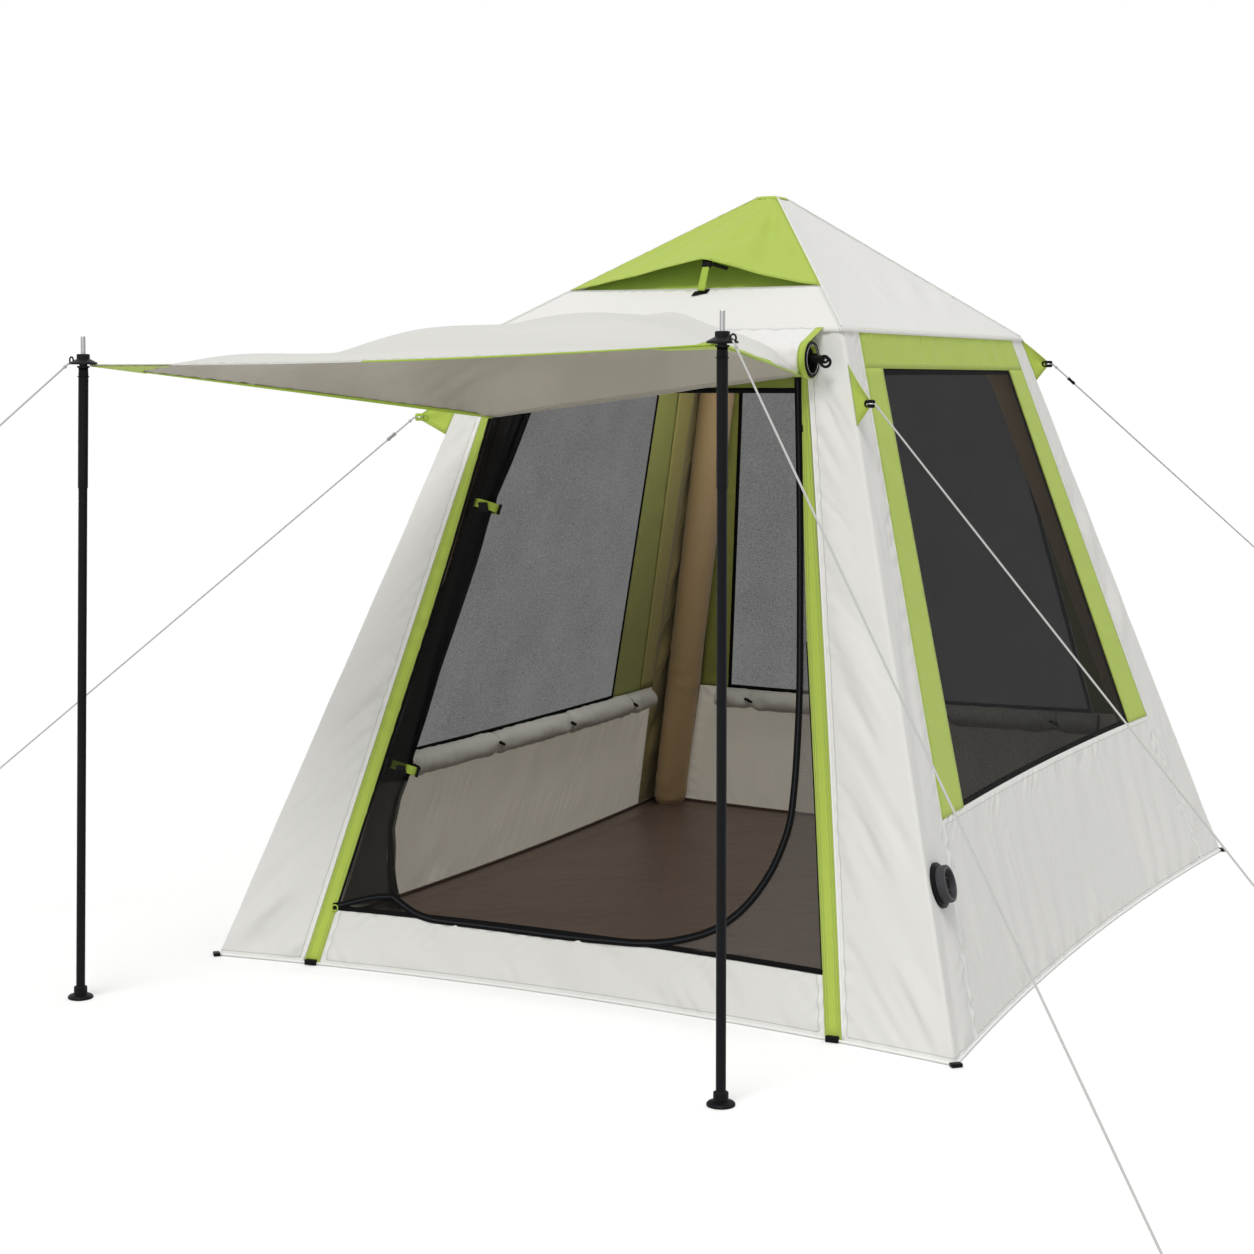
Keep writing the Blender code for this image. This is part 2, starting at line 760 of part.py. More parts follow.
def prop_foot():
    """Where the prop's hinge lies, just above the panel under the vent."""
    share = VENT_SHARE - PROP_FOOT_DROP
    width = blend(EAVE_HALF_X, APEX_FLAT_HALF, share)
    run = EAVE_HALF_Y - APEX_FLAT_HALF
    normal = Vector((0.0, -(APEX_HEIGHT - EAVE_HEIGHT), run)).normalized()
    return roof_point("front", PROP_PLACE / width, share) + normal * (PROP_RADIUS + GAP)


def prop_head():
    """The hood's edge above the prop, on the middle of the sheet's arch."""
    column = HOOD_COLUMNS / 2.0
    edge = hood_point(column, 0)
    next_edge = hood_point(column + 1, 0)
    share = PROP_PLACE / next_edge.x
    return blend(edge, next_edge, share) + Vector((0.0, PROP_INSET, 0.0))


def build_vent_prop():
    """A strut that stands on the roof and holds the hood open; it folds back under it."""
    foot = prop_foot()
    head = prop_head()
    length = (head - foot).length - SKIN - PROP_EASE
    turned("vent_prop", [
        (0.0, length), (PROP_RADIUS * 0.6, length), (PROP_RADIUS, length - 0.003),
        (PROP_RADIUS, 0.0), (PROP_RADIUS * 0.7, -PROP_RADIUS * 0.7), (0.0, -PROP_RADIUS)],
        BLACK, facing(foot, head - foot), 12)


# Air frame

def corner_axis(sign_x, sign_y, z, offset):
    """A point inside a corner, offset along the corner's diagonal in plan."""
    diagonal = offset / math.sqrt(2.0)
    return Vector((sign_x * (half_x(z) - diagonal), sign_y * (half_y(z) - diagonal), z))


def rounded(points, radius, count=6):
    """A path with each inner corner replaced by an arc-like run of points."""
    path = [points[0]]
    for before, here, after in zip(points, points[1:], points[2:]):
        start = here + (before - here).normalized() * radius
        end = here + (after - here).normalized() * radius
        for i in range(count + 1):
            share = i / count
            path.append(blend(blend(start, here, share), blend(here, end, share), share))
    path.append(points[-1])
    return path


def rafter_lines():
    """Slope of the ridges, the height where the rafter axes meet, and their headings."""
    run = math.hypot(EAVE_HALF_X - APEX_FLAT_HALF, EAVE_HALF_Y - APEX_FLAT_HALF)
    slope = math.atan2(APEX_HEIGHT - EAVE_HEIGHT, run)
    plan = Vector((EAVE_HALF_X, EAVE_HALF_Y, 0.0)).normalized()
    hub_z = APEX_HEIGHT - RAFTER_DROP
    headings = {}
    for corner, sx, sy in CORNERS:
        out = Vector((sx * plan.x, sy * plan.y, 0.0))
        headings[corner] = (out, out * math.cos(slope) - Vector((0.0, 0.0, math.sin(slope))))
    return slope, hub_z, headings


def build_air_frame():
    """Four beams, each an upright leg in a corner sleeve and a rafter under a ridge."""
    slope, hub_z, headings = rafter_lines()
    for corner, sx, sy in CORNERS:
        out, rafter = headings[corner]
        hub_face = Vector((0.0, 0.0, hub_z)) + rafter * (HUB_HALF + GAP)
        foot = corner_axis(sx, sy, FLOOR_THICKNESS + GAP, BEAM_CORNER_OFFSET)
        ankle = corner_axis(sx, sy, FOOT_RISE, BEAM_CORNER_OFFSET)
        foot.x, foot.y = ankle.x, ankle.y
        reach = corner_axis(sx, sy, KNEE_HEIGHT, BEAM_EAVE_OFFSET).dot(out)
        knee = out * reach
        knee.z = hub_z - reach * math.tan(slope)
        path = [foot] + rounded([ankle, knee, hub_face], KNEE_BEND)
        tube("air_beam_" + corner, path, BEAM_RADIUS, TAN, 4)


def build_apex_hub():
    """The block where the four rafters meet: a hull over one disc square to each."""
    slope, hub_z, headings = rafter_lines()
    bm = bmesh.new()
    for corner, sx, sy in CORNERS:
        out, rafter = headings[corner]
        centre = Vector((0.0, 0.0, hub_z)) + rafter * HUB_HALF
        bmesh.ops.create_circle(bm, segments=20, radius=BEAM_RADIUS,
                                matrix=facing(centre, rafter))
    bmesh.ops.convex_hull(bm, input=bm.verts[:])
    bmesh.ops.recalc_face_normals(bm, faces=bm.faces[:])
    mesh_object(bm, "apex_hub", TAN)


# Ground sheet

def build_ground_sheet():
    """A floor cut to the hems, with an upstand that follows the walls."""
    outline = [(side, blend(-1.0, 1.0, i / 8))
               for side in ("front", "right", "back", "left") for i in range(8)]

    def at(side, across, z, margin):
        half = half_x(z) if side in ("front", "back") else half_y(z)
        return wall(side, across * (half - margin), z, margin)
    bm = bmesh.new()
    low = [bm.verts.new(at(side, a, FLOOR_THICKNESS / 2.0, FLOOR_MARGIN)) for side, a in outline]
    high = [bm.verts.new(at(side, a, FLOOR_UPSTAND, FLOOR_MARGIN)) for side, a in outline]
    bm.faces.new(low)
    count = len(outline)
    for k in range(count):
        bm.faces.new((low[k], low[(k + 1) % count], high[(k + 1) % count], high[k]))
    bmesh.ops.recalc_face_normals(bm, faces=bm.faces[:])
    made = mesh_object(bm, "ground_sheet", BROWN)
    solid = made.modifiers.new("thickness", "SOLIDIFY")
    solid.thickness = FLOOR_THICKNESS
    solid.offset = 0.0
    solid.use_even_offset = True


# Header tube

def tube_axis_y():
    """The tube lies against the front wall, just clear of it."""
    normal = wall_normal("front", TUBE_RIGHT, TUBE_HEIGHT)
    on_wall = wall("front", TUBE_RIGHT + CAP_LENGTH, TUBE_HEIGHT)
    reach = (TUBE_RADIUS + CAP_LIP / 3 + GAP) / -normal.y
    return on_wall.y - reach


def along_x(x):
    """A frame on the header tube's axis whose Z runs to the right."""
    return facing(Vector((x, tube_axis_y(), TUBE_HEIGHT)), Vector((1.0, 0.0, 0.0)))


def build_header():
    length = TUBE_RIGHT - TUBE_LEFT
    inner = TUBE_RADIUS - TUBE_WALL
    turned("header_tube", [
        (inner, length), (TUBE_RADIUS, length), (TUBE_RADIUS, 0.0), (0.0, 0.0),
        (0.0, TUBE_WALL), (inner, TUBE_WALL), (inner, length)], WHITE, along_x(TUBE_LEFT), 28)
    neck = TUBE_RADIUS - TUBE_WALL - GAP
    disc = -CAP_DISC_DEPTH
    lip = TUBE_RADIUS + CAP_LIP / 3
    turned("header_end_cap", [
        (PLUG_RADIUS + GAP, disc), (neck - 0.006, disc), (neck - 0.004, CAP_LENGTH),
        (lip - 0.003, CAP_LENGTH), (lip, CAP_LENGTH - 0.003), (lip, GAP), (neck, GAP),
        (neck, -CAP_SLEEVE), (neck - 0.004, -CAP_SLEEVE), (neck - 0.008, disc - CAP_DISC),
        (PLUG_RADIUS + GAP, disc - CAP_DISC), (PLUG_RADIUS + GAP, disc)],
        BLACK, along_x(TUBE_RIGHT), 28)
    build_plug(TUBE_RIGHT + disc)


def build_plug(seat):
    """A push-in plug with a pull tab that has a finger hole, from its seat along +X."""
    bpy.ops.mesh.primitive_cylinder_add(vertices=16, radius=PLUG_RADIUS,
                                        depth=PLUG_LENGTH + PLUG_SUNK)
    plug = bpy.context.active_object
    keep(plug, "header_plug", BLACK)
    plug.matrix_world = along_x(seat + (PLUG_LENGTH - PLUG_SUNK) / 2.0)
    tab = curve_solid([circle(PLUG_TAB / 2.0, count=20), circle(PLUG_TAB_HOLE, (0.002, 0.0), 20)],
                      PLUG_TAB_THICKNESS)
    place = Matrix.Translation((seat + PLUG_LENGTH + 0.004, tube_axis_y(), TUBE_HEIGHT))
    place = place @ Matrix.Rotation(math.radians(90.0), 4, "X")
    bmesh.ops.transform(tab, matrix=place, verts=tab.verts[:])
    join = plug.modifiers.new("pull tab", "BOOLEAN")
    join.operation = "UNION"
    join.object = hidden_solid(tab, "plug_tab")


# Awning

AWNING_COLUMNS = 20
AWNING_ROWS = 14


def awning_seat():
    """Where the awning's rear right corner meets the header tube, as y and z."""
    angle = math.radians(AWNING_SEAT_ANGLE)
    reach = TUBE_RADIUS + AWNING_THICKNESS + 2 * GAP
    return (tube_axis_y() - reach * math.cos(angle), TUBE_HEIGHT - reach * math.sin(angle))


def awning_point(i, j):
    """The awning: a sheet from the pole hubs to the header, crowned towards the roof.

    Its edges run straight between the four corners. The crown is a flattened arch
    across, times a swell that peaks just before the rear edge and drops to it.
    """
    across = i / AWNING_COLUMNS
    back = j / AWNING_ROWS
    front_x = blend(AWNING_LEFT, AWNING_RIGHT, across)
    rear_x = blend(AWNING_REAR_LEFT, AWNING_REAR_RIGHT, across)
    front_z = blend(HUB_LEFT_HEIGHT, HUB_RIGHT_HEIGHT, across)
    front_z -= AWNING_FRONT_SAG * math.sin(math.pi * across)
    rear_y, seat_z = awning_seat()
    rear_z = blend(AWNING_REAR_LEFT_HEIGHT, seat_z, across)
    place = AWNING_CROWN_PLACE
    if back < place:
        swell = math.sin(0.5 * math.pi * back / place)
    else:
        swell = math.cos(0.5 * math.pi * (back - place) / (1.0 - place)) ** 0.7
    arch = math.sin(math.pi * across) ** 0.75
    y = blend(AWNING_FRONT, rear_y, back)
    return Vector((blend(front_x, rear_x, back), y,
                   blend(front_z, rear_z, back) + AWNING_CROWN * swell * arch))


def build_awning():
    bm = shaped_grid(AWNING_COLUMNS, AWNING_ROWS, awning_point)
    sheet(bm, "awning", BEIGE, AWNING_THICKNESS, centre=Vector((-0.2, -1.4, -4.0)))


def hub_place(side):
    """Centre of the hub over a pole, just outside the awning's corner."""
    if side == "left":
        return Vector((AWNING_LEFT - 0.012, AWNING_FRONT - 0.012, HUB_LEFT_HEIGHT))
    return Vector((AWNING_RIGHT + 0.012, AWNING_FRONT - 0.012, HUB_RIGHT_HEIGHT))


def build_pole(side):
    """A hub with its spike on the awning's corner, and a two-part pole under it."""
    hub = hub_place(side)
    up = Matrix.Translation(hub)
    low = -COLLAR_HEIGHT
    peak = CONE_HEIGHT + SPIKE_LENGTH
    turned("pole_hub_" + side, [
        (0.0, peak), (SPIKE_RADIUS - 0.001, peak), (SPIKE_RADIUS, peak - 0.002),
        (SPIKE_RADIUS, CONE_HEIGHT), (CONE_TOP_RADIUS - 0.002, CONE_HEIGHT),
        (CONE_TOP_RADIUS, CONE_HEIGHT - 0.002), (CONE_TOP_RADIUS, CONE_HEIGHT * 0.55),
        (CONE_RADIUS, CONE_RIM), (CONE_RADIUS, HUB_EASE), (NECK_RADIUS, HUB_EASE),
        (NECK_RADIUS, -AWNING_THICKNESS - HUB_EASE),
        (COLLAR_RADIUS, -AWNING_THICKNESS - HUB_EASE), (COLLAR_RADIUS, low), (0.0, low)],
        BLACK, up, 24)
    lean = POLE_LEFT_LEAN if side == "left" else 0.0
    pivot = hub + Vector((0.0, 0.0, low - GAP - POLE_RADIUS))
    foot = Vector((pivot.x - lean, pivot.y, 0.0))
    axis = (pivot - foot).normalized()
    length = (pivot - foot).length
    stand = facing(pivot, axis, Vector((0.0, 1.0, 0.0)))
    dome = [(POLE_RADIUS * math.cos(math.radians(step)), POLE_RADIUS * math.sin(math.radians(step)))
            for step in (60.0, 40.0, 20.0, 0.0)]
    bore = POLE_RADIUS - POLE_WALL
    shoulder = -0.010
    turned("pole_upper_" + side, [
        (0.0, POLE_RADIUS), *dome, (POLE_RADIUS, -POLE_UPPER), (bore, -POLE_UPPER),
        (bore, shoulder), (0.0, shoulder)], POLE, stand, 24)
    inner = bore - POLE_FIT
    bottom = -length
    top = -POLE_UPPER + POLE_OVERLAP
    turned("pole_lower_" + side, [
        (0.0, top), (inner - 0.001, top), (inner, top - 0.001),
        (inner, bottom + FOOT_COLLAR_HEIGHT + 0.004),
        (FOOT_COLLAR_RADIUS, bottom + FOOT_COLLAR_HEIGHT),
        (FOOT_COLLAR_RADIUS, bottom + FOOT_HEIGHT + 0.004),
        (FOOT_RADIUS - 0.003, bottom + FOOT_HEIGHT), (FOOT_RADIUS, bottom + FOOT_HEIGHT - 0.003),
        (FOOT_RADIUS, bottom + 0.001), (0.0, bottom + 0.001)], POLE, stand, 24)


# Corner tabs and ropes

def corner_point(sx, sy, z):
    return Vector((sx * half_x(z), sy * half_y(z), z))


def tab_shape(sx, sy):
    """A tab's bottom and top heights, reach, root on the seam and level heading.

    The heading is the one its guy rope pulls it to; the back left tab mirrors its twin.
    """
    anchor = ROPE_ANCHOR_BACK_RIGHT
    bottom, tip, top, reach = TAB_BACK
    if sy < 0 and sx > 0:
        anchor = ROPE_ANCHOR_FRONT_RIGHT
        bottom, tip, top, reach = TAB_FRONT_RIGHT
    elif sy < 0:
        anchor = ROPE_ANCHOR_FRONT_LEFT
        bottom, tip, top, reach = TAB_FRONT_LEFT
    root = corner_point(sx, sy, tip)
    heading = Vector((sx * abs(anchor[0]) - root.x, anchor[1] - root.y, 0.0)).normalized()
    return bottom, top, reach, root, heading


CORNERS = (("front_left", -1, -1), ("front_right", 1, -1),
           ("back_left", -1, 1), ("back_right", 1, 1))


def curve_solid(outlines, thickness):
    """A flat plate from closed outlines, the later ones being holes, as a closed mesh."""
    curve = bpy.data.curves.new("outline", "CURVE")
    curve.dimensions = "2D"
    curve.fill_mode = "BOTH"
    curve.extrude = thickness / 2.0
    for points in outlines:
        spline = curve.splines.new("POLY")
        spline.points.add(len(points) - 1)
        for slot, (x, y) in zip(spline.points, points):
            slot.co = (x, y, 0.0, 1.0)
        spline.use_cyclic_u = True
    holder = bpy.data.objects.new("outline", curve)
    CUTTERS.objects.link(holder)
    bpy.context.view_layer.update()
    mesh = bpy.data.meshes.new_from_object(
        holder.evaluated_get(bpy.context.evaluated_depsgraph_get()))
    bpy.data.objects.remove(holder, do_unlink=True)
    bm = bmesh.new()
    bm.from_mesh(mesh)
    bmesh.ops.remove_doubles(bm, verts=bm.verts[:], dist=0.00001)
    bmesh.ops.recalc_face_normals(bm, faces=bm.faces[:])
    return bm


def hidden_solid(bm, name):
    """A solid that only a modifier uses."""
    mesh = bpy.data.meshes.new(name)
    bm.to_mesh(mesh)
    bm.free()
    made = bpy.data.objects.new(name, mesh)
    made.hide_render = True
    made.display_type = "WIRE"
    CUTTERS.objects.link(made)
    return made


def circle(radius, centre=(0.0, 0.0), count=16):
    return [(centre[0] + radius * math.cos(2.0 * math.pi * k / count),
             centre[1] + radius * math.sin(2.0 * math.pi * k / count)) for k in range(count)]


def tab_and_foot(sx, sy):
    """A webbing triangle with an eyelet and a small hem foot, both sunk into a sleeve.

    The triangle lies in the plane of the corner seam and the rope's heading.
    """
    bottom, top, reach, root, heading = tab_shape(sx, sy)
    seam = (corner_point(sx, sy, top) - corner_point(sx, sy, bottom)).normalized()
    out = (heading - seam * heading.dot(seam)).normalized()

    def spot(along, across=0.0):
        x, y = heading.dot(out), heading.dot(seam)
        return along * x - across * y, along * y + across * x

    def on_seam(z):
        return -SKIN / 2.0, (corner_point(sx, sy, z) - root).dot(seam)
    outline = [on_seam(bottom), spot(reach, -TAB_TIP_HALF), spot(reach + TAB_RIM),
               spot(reach, TAB_TIP_HALF), on_seam(top)]
    hole = circle(TAB_HOLE, spot(reach - TAB_HOLE - TAB_RIM), 12)
    plate = curve_solid([outline, hole], TAB_THICKNESS)
    frame = Matrix.Translation(root) @ Matrix((out, seam, out.cross(seam))).transposed().to_4x4()
    bmesh.ops.transform(plate, matrix=frame, verts=plate.verts[:])
    level = Vector((sx, sy, 0.0)).normalized()
    angle = math.atan2(level.y, level.x) - math.pi / 2.0
    hem = corner_point(sx, sy, FOOT_LIFT + CLIP_SIZE[2] / 2.0)
    place = Matrix.Translation(hem + level * (CLIP_SIZE[1] / 2.0 - SKIN * 1.5))
    place = place @ Matrix.Rotation(angle, 4, "Z")
    bmesh.ops.create_cube(plate, size=1.0, matrix=place @ Matrix.Diagonal((*CLIP_SIZE, 1.0)))
    bmesh.ops.recalc_face_normals(plate, faces=plate.faces[:])
    return hidden_solid(plate, "tab_and_foot")


def ring_centre(sx, sy):
    _, _, reach, root, heading = tab_shape(sx, sy)
    eyelet = reach - TAB_HOLE - TAB_RIM
    return root + heading * (eyelet + RING_RADIUS + TAB_HOLE - RING_WIRE - 2 * GAP)


def build_rings():
    """Steel rings hung in the tabs' eyelets, drawn out against their rims."""
    for name, sx, sy in CORNERS:
        bpy.ops.mesh.primitive_torus_add(major_radius=RING_RADIUS, minor_radius=RING_WIRE,
                                         major_segments=20, minor_segments=6)
        ring = bpy.context.active_object
        keep(ring, "guy_ring_" + name, STEEL)
        ring.location = ring_centre(sx, sy)
        smooth(ring, 80.0)


def rope_run(level_origin, reach, anchor, share):
    """Start and end of a rope that leaves a seat and runs straight to its ground anchor.

    reach is how far the middle of its cut end lies from the seat's own centre.
    """
    goal = Vector((*anchor, 2.0 * ROPE_RADIUS))
    level = Vector((goal.x - level_origin.x, goal.y - level_origin.y, 0.0))
    slope = math.atan2(level_origin.z - goal.z, level.length)
    start = level_origin + level.normalized() * reach(slope)
    return start, blend(start, goal, share)


def rope_ends():
    """Start and end of every guy rope."""
    def beside_hub(slope):
        return CONE_RADIUS + GAP + ROPE_RADIUS * math.sin(slope)

    def beside_ring(slope):
        return RING_RADIUS + (RING_WIRE + 1.5 * GAP) / math.cos(slope)
    ropes = {}
    for side, anchor, share in (("left", ROPE_ANCHOR_POLE_LEFT, ROPE_SHARE_POLE_LEFT),
                                ("right", ROPE_ANCHOR_POLE_RIGHT, ROPE_SHARE_POLE_RIGHT)):
        rim = hub_place(side) + Vector((0.0, 0.0, CONE_RIM + 0.0005))
        ropes["pole_" + side] = rope_run(rim, beside_hub, anchor, share)
    for corner, sx, sy, anchor, share in (
            ("front_left", -1, -1, ROPE_ANCHOR_FRONT_LEFT, ROPE_SHARE_FRONT_LEFT),
            ("front_right", 1, -1, ROPE_ANCHOR_FRONT_RIGHT, ROPE_SHARE_FRONT_RIGHT),
            ("back_right", 1, 1, ROPE_ANCHOR_BACK_RIGHT, ROPE_SHARE_BACK_RIGHT)):
        ropes[corner] = rope_run(ring_centre(sx, sy), beside_ring, anchor, share)
    return ropes


ROPE_POINTS = 14


def build_ropes():
    for name, (start, end) in rope_ends().items():
        points = [blend(start, end, i / ROPE_POINTS) for i in range(ROPE_POINTS + 1)]
        tube("guy_rope_" + name, points, ROPE_RADIUS, ROPE, 2)


def build_tensioners():
    """Sliding tensioners on the ropes that show one."""
    ropes = rope_ends()
    for corner in ("front_left", "back_right"):
        start, end = ropes[corner]
        along = (end - start).normalized()
        bore = ROPE_RADIUS + TENSIONER_FIT
        half = TENSIONER_LENGTH / 2.0
        turned("tensioner_" + corner, [
            (bore, half), (TENSIONER_RADIUS - 0.001, half), (TENSIONER_RADIUS, half - 0.001),
            (TENSIONER_RADIUS * 0.8, 0.0), (TENSIONER_RADIUS, 0.001 - half),
            (TENSIONER_RADIUS - 0.001, -half), (bore, -half), (bore, half)],
            BLACK, facing(start + along * TENSIONER_PLACE, along), 12)


# Rolled curtains

def build_rolls():
    """Window curtains rolled down to the sill inside each wall and cinched by ties."""
    inset = ROLL_RADIUS * math.cos(math.pi / 16) + SKIN
    for side, half in (("right", SIDE_ROLL_HALF), ("left", SIDE_ROLL_HALF),
                       ("back", BACK_ROLL_HALF)):
        count = 30
        points, radii = [], []
        for i in range(count + 1):
            a = blend(-half, half, i / count)
            normal = wall_normal(side, a, ROLL_HEIGHT)
            points.append(wall(side, a, ROLL_HEIGHT) - normal * inset)
            near_tie = min(abs(i - tie) for tie in (3, 11, 19, 27))
            cinch = ROLL_CINCH if near_tie == 0 else (0.93 if near_tie == 1 else 1.0)
            radii.append(0.85 if i in (0, count) else cinch)
        roll = tube("curtain_roll_" + side, points, ROLL_RADIUS, ROLLED, 3)
        for slot, share in zip(roll.data.splines[0].points, radii):
            slot.radius = share


# Gathered door

def gather_half(z):
    """Half widths of the bundle across and through the wall at a height."""
    def near(strap):
        return math.exp(-((z - strap) / 0.10) ** 2)
    pinch = max(near(STRAP_UPPER), near(STRAP_LOWER))
    top = max(0.0, (z - STRAP_UPPER - STRAP_WIDTH) / (GATHER_TOP - STRAP_UPPER))
    foot = max(0.0, (STRAP_LOWER - STRAP_WIDTH - z) / (STRAP_LOWER - GATHER_BOTTOM))
    wide = GATHER_HALF + 0.018 * top + 0.058 * foot - 0.006 * pinch
    deep = GATHER_DEPTH - 0.013 * top - 0.006 * foot - 0.006 * pinch
    return wide, deep


def gather_centre(z):
    """Centre line of the gathered net, just inside the front wall on the left."""
    inside = (SKIN / 2.0 + ZIP_RADIUS + 3 * GAP + STRAP_THICKNESS + STRAP_EASE
              + gather_half(z)[1] * FOLD_PEAK)
    low, high = STRAP_LOWER - STRAP_WIDTH, STRAP_UPPER + STRAP_WIDTH

    def leaning(height):
        share = (height - STRAP_LOWER) / (STRAP_UPPER - STRAP_LOWER)
        return blend(GATHER_PLACE_LOWER, GATHER_PLACE_UPPER, share)
    if z > high:
        a = blend(leaning(high), GATHER_PLACE_TOP, (z - high) / (GATHER_TOP - high))
    elif z > low:
        a = leaning(z)
    else:
        a = blend(GATHER_PLACE_FOOT, leaning(low), (z - GATHER_BOTTOM) / (low - GATHER_BOTTOM))
    return -a, inside


def build_gathered_door():
    """A closed loft of folded sections: lobes round an oval, drawn in at the straps."""
    around = 36
    heights = (steps(GATHER_BOTTOM, STRAP_LOWER - STRAP_WIDTH, 7) + [STRAP_LOWER]
               + steps(STRAP_LOWER + STRAP_WIDTH, STRAP_UPPER - STRAP_WIDTH, 12) + [STRAP_UPPER]
               + steps(STRAP_UPPER + STRAP_WIDTH, GATHER_TOP, 6))

    def place(i, j):
        z = heights[j]
        a, inside = gather_centre(z)
        wide, deep = gather_half(z)
        angle = 2.0 * math.pi * i / around
        wave = math.sin(GATHER_FOLDS * angle + 1.6 * math.sin(3.0 * z))
        fold = FOLD_PEAK - FOLD_DEPTH * (1.0 - wave)
        return wall("front", a + wide * fold * math.cos(angle), z,
                    inside + deep * fold * math.sin(angle))
    bm = shaped_grid(around, len(heights) - 1, place)
    bmesh.ops.remove_doubles(bm, verts=bm.verts[:], dist=0.00001)
    bmesh.ops.holes_fill(bm, edges=[edge for edge in bm.edges if edge.is_boundary], sides=0)
    bmesh.ops.recalc_face_normals(bm, faces=bm.faces[:])
    mesh_object(bm, "door_net_gathered", MESH)


def strap_frame(z):
    a, inside = gather_centre(z)
    centre = wall("front", a, z, inside)
    step = wall("front", gather_centre(z + 0.05)[0], z + 0.05, gather_centre(z + 0.05)[1])
    along = (step - centre).normalized()
    side = Vector((1.0, 0.0, 0.0))
    side = (side - along * side.dot(along)).normalized()
    return Matrix.Translation(centre) @ Matrix((side, along.cross(side), along)).transposed().to_4x4()


def strap_halves(z):
    wide, deep = gather_half(z)
    return wide * FOLD_PEAK + STRAP_EASE, deep * FOLD_PEAK + STRAP_EASE


def oval(long, short, count=28):
    return [(long * math.cos(2.0 * math.pi * k / count), short * math.sin(2.0 * math.pi * k / count))
            for k in range(count)]


def build_straps():
    """Two webbing loops round the gathered net, each closed by a swivelling toggle."""
    for name, z in (("upper", STRAP_UPPER), ("lower", STRAP_LOWER)):
        long, short = strap_halves(z)
        outer = oval(long + STRAP_THICKNESS, short + STRAP_THICKNESS)
        inner = oval(long, short)
        band = curve_solid([outer, inner], STRAP_WIDTH)
        made = mesh_object(band, "door_strap_" + name, GREEN)
        made.matrix_world = strap_frame(z)
    for name, z in (("upper", STRAP_UPPER), ("lower", STRAP_LOWER)):
        frame = strap_frame(z)
        reach = strap_halves(z)[0] + STRAP_THICKNESS + TOGGLE_RADIUS + GAP
        place = frame @ Matrix.Translation((reach, 0.0, 0.0))
        half = TOGGLE_LENGTH / 2.0
        turned("toggle_" + name, [
            (0.0, half), (TOGGLE_RADIUS - 0.001, half), (TOGGLE_RADIUS, half - 0.002),
            (TOGGLE_RADIUS * 0.8, 0.0), (TOGGLE_RADIUS, 0.002 - half),
            (TOGGLE_RADIUS - 0.001, -half), (0.0, -half)], BLACK, place, 12)


def build():
    build_ground_sheet()
    build_lower_walls()
    build_window_frames()
    build_window_nets()
    build_front()
    build_fixed_net()
    build_zip()
    build_zip_slider()
    build_sleeves()
    build_canopy()
    build_vent()
    build_vent_prop()
    build_air_frame()
    build_apex_hub()
    build_header()
    build_awning()
    for side in ("left", "right"):
        build_pole(side)
    build_valve()
    build_rings()
    build_ropes()
    build_tensioners()
    build_rolls()
    build_gathered_door()
    build_straps()


build()
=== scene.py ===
"""Looks of the inflatable gazebo: cloth, nets, ropes, trim, light and camera.

Every cloth is a grid of points over the same wall, roof or awning formula as the solid part, with its
folds added along the surface's own normal. Lengths are metres, +Z is up and the front faces -Y.
"""

import math

import bmesh
import bpy
import numpy as np
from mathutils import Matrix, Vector


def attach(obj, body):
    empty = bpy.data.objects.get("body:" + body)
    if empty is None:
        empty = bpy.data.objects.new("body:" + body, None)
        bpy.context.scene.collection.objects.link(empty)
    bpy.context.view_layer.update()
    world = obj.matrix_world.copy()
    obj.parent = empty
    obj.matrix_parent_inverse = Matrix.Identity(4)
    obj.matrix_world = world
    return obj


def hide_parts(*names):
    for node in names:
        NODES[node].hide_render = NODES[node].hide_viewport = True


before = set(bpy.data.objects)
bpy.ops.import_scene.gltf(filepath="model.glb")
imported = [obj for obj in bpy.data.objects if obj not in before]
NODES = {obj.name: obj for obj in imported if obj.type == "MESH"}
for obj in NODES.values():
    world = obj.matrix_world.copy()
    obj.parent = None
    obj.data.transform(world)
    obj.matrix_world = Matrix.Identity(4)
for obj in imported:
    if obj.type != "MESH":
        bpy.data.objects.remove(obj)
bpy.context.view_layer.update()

# Sizes of the solid part that the cloth follows
BASE_HALF_X, BASE_HALF_Y = 1.1, 1.375
EAVE_HALF_X, EAVE_HALF_Y = 0.555, 0.775
EAVE_HEIGHT, APEX_HEIGHT, APEX_FLAT = 1.777, 2.2, 0.032
FRONT_HEM_BOW, SIDE_HEM_BOW = 0.095, 0.06
HEM_LIFT, WALL_TOP = 0.0008, 1.7746
SILL_TOP, DOOR_TOP = 0.151, 1.6
WINDOW_SILL, WINDOW_TOP = 0.512, 1.665
VENT_SHARE = 0.29
TUBE_RADIUS, TUBE_HEIGHT, TUBE_Y = 0.047, 1.688, -0.85557
AWNING_FRONT, AWNING_LEFT, AWNING_RIGHT = -1.877, -1.1, 0.714
SEAT_Y, SEAT_Z, SEAT_LEFT_Z = -0.87918, 1.64421, 1.525
HUB_LEFT = (-1.112, -1.889, 1.672)
HUB_RIGHT = (0.726, -1.889, 1.712)
HUBS = (("left", HUB_LEFT), ("right", HUB_RIGHT))
PROP_ACROSS = 0.09
BEAM_RADIUS = 0.062
ROPE_DIAMETER = 0.005
VALVE = (-1.165, 0.38)
STRAP_HEIGHTS = {"upper": 1.27, "lower": 0.535}
ABOVE_STRAPS, BELOW_STRAPS, NET_TOP, NET_FOOT = 1.294, 0.511, 1.585, 0.19
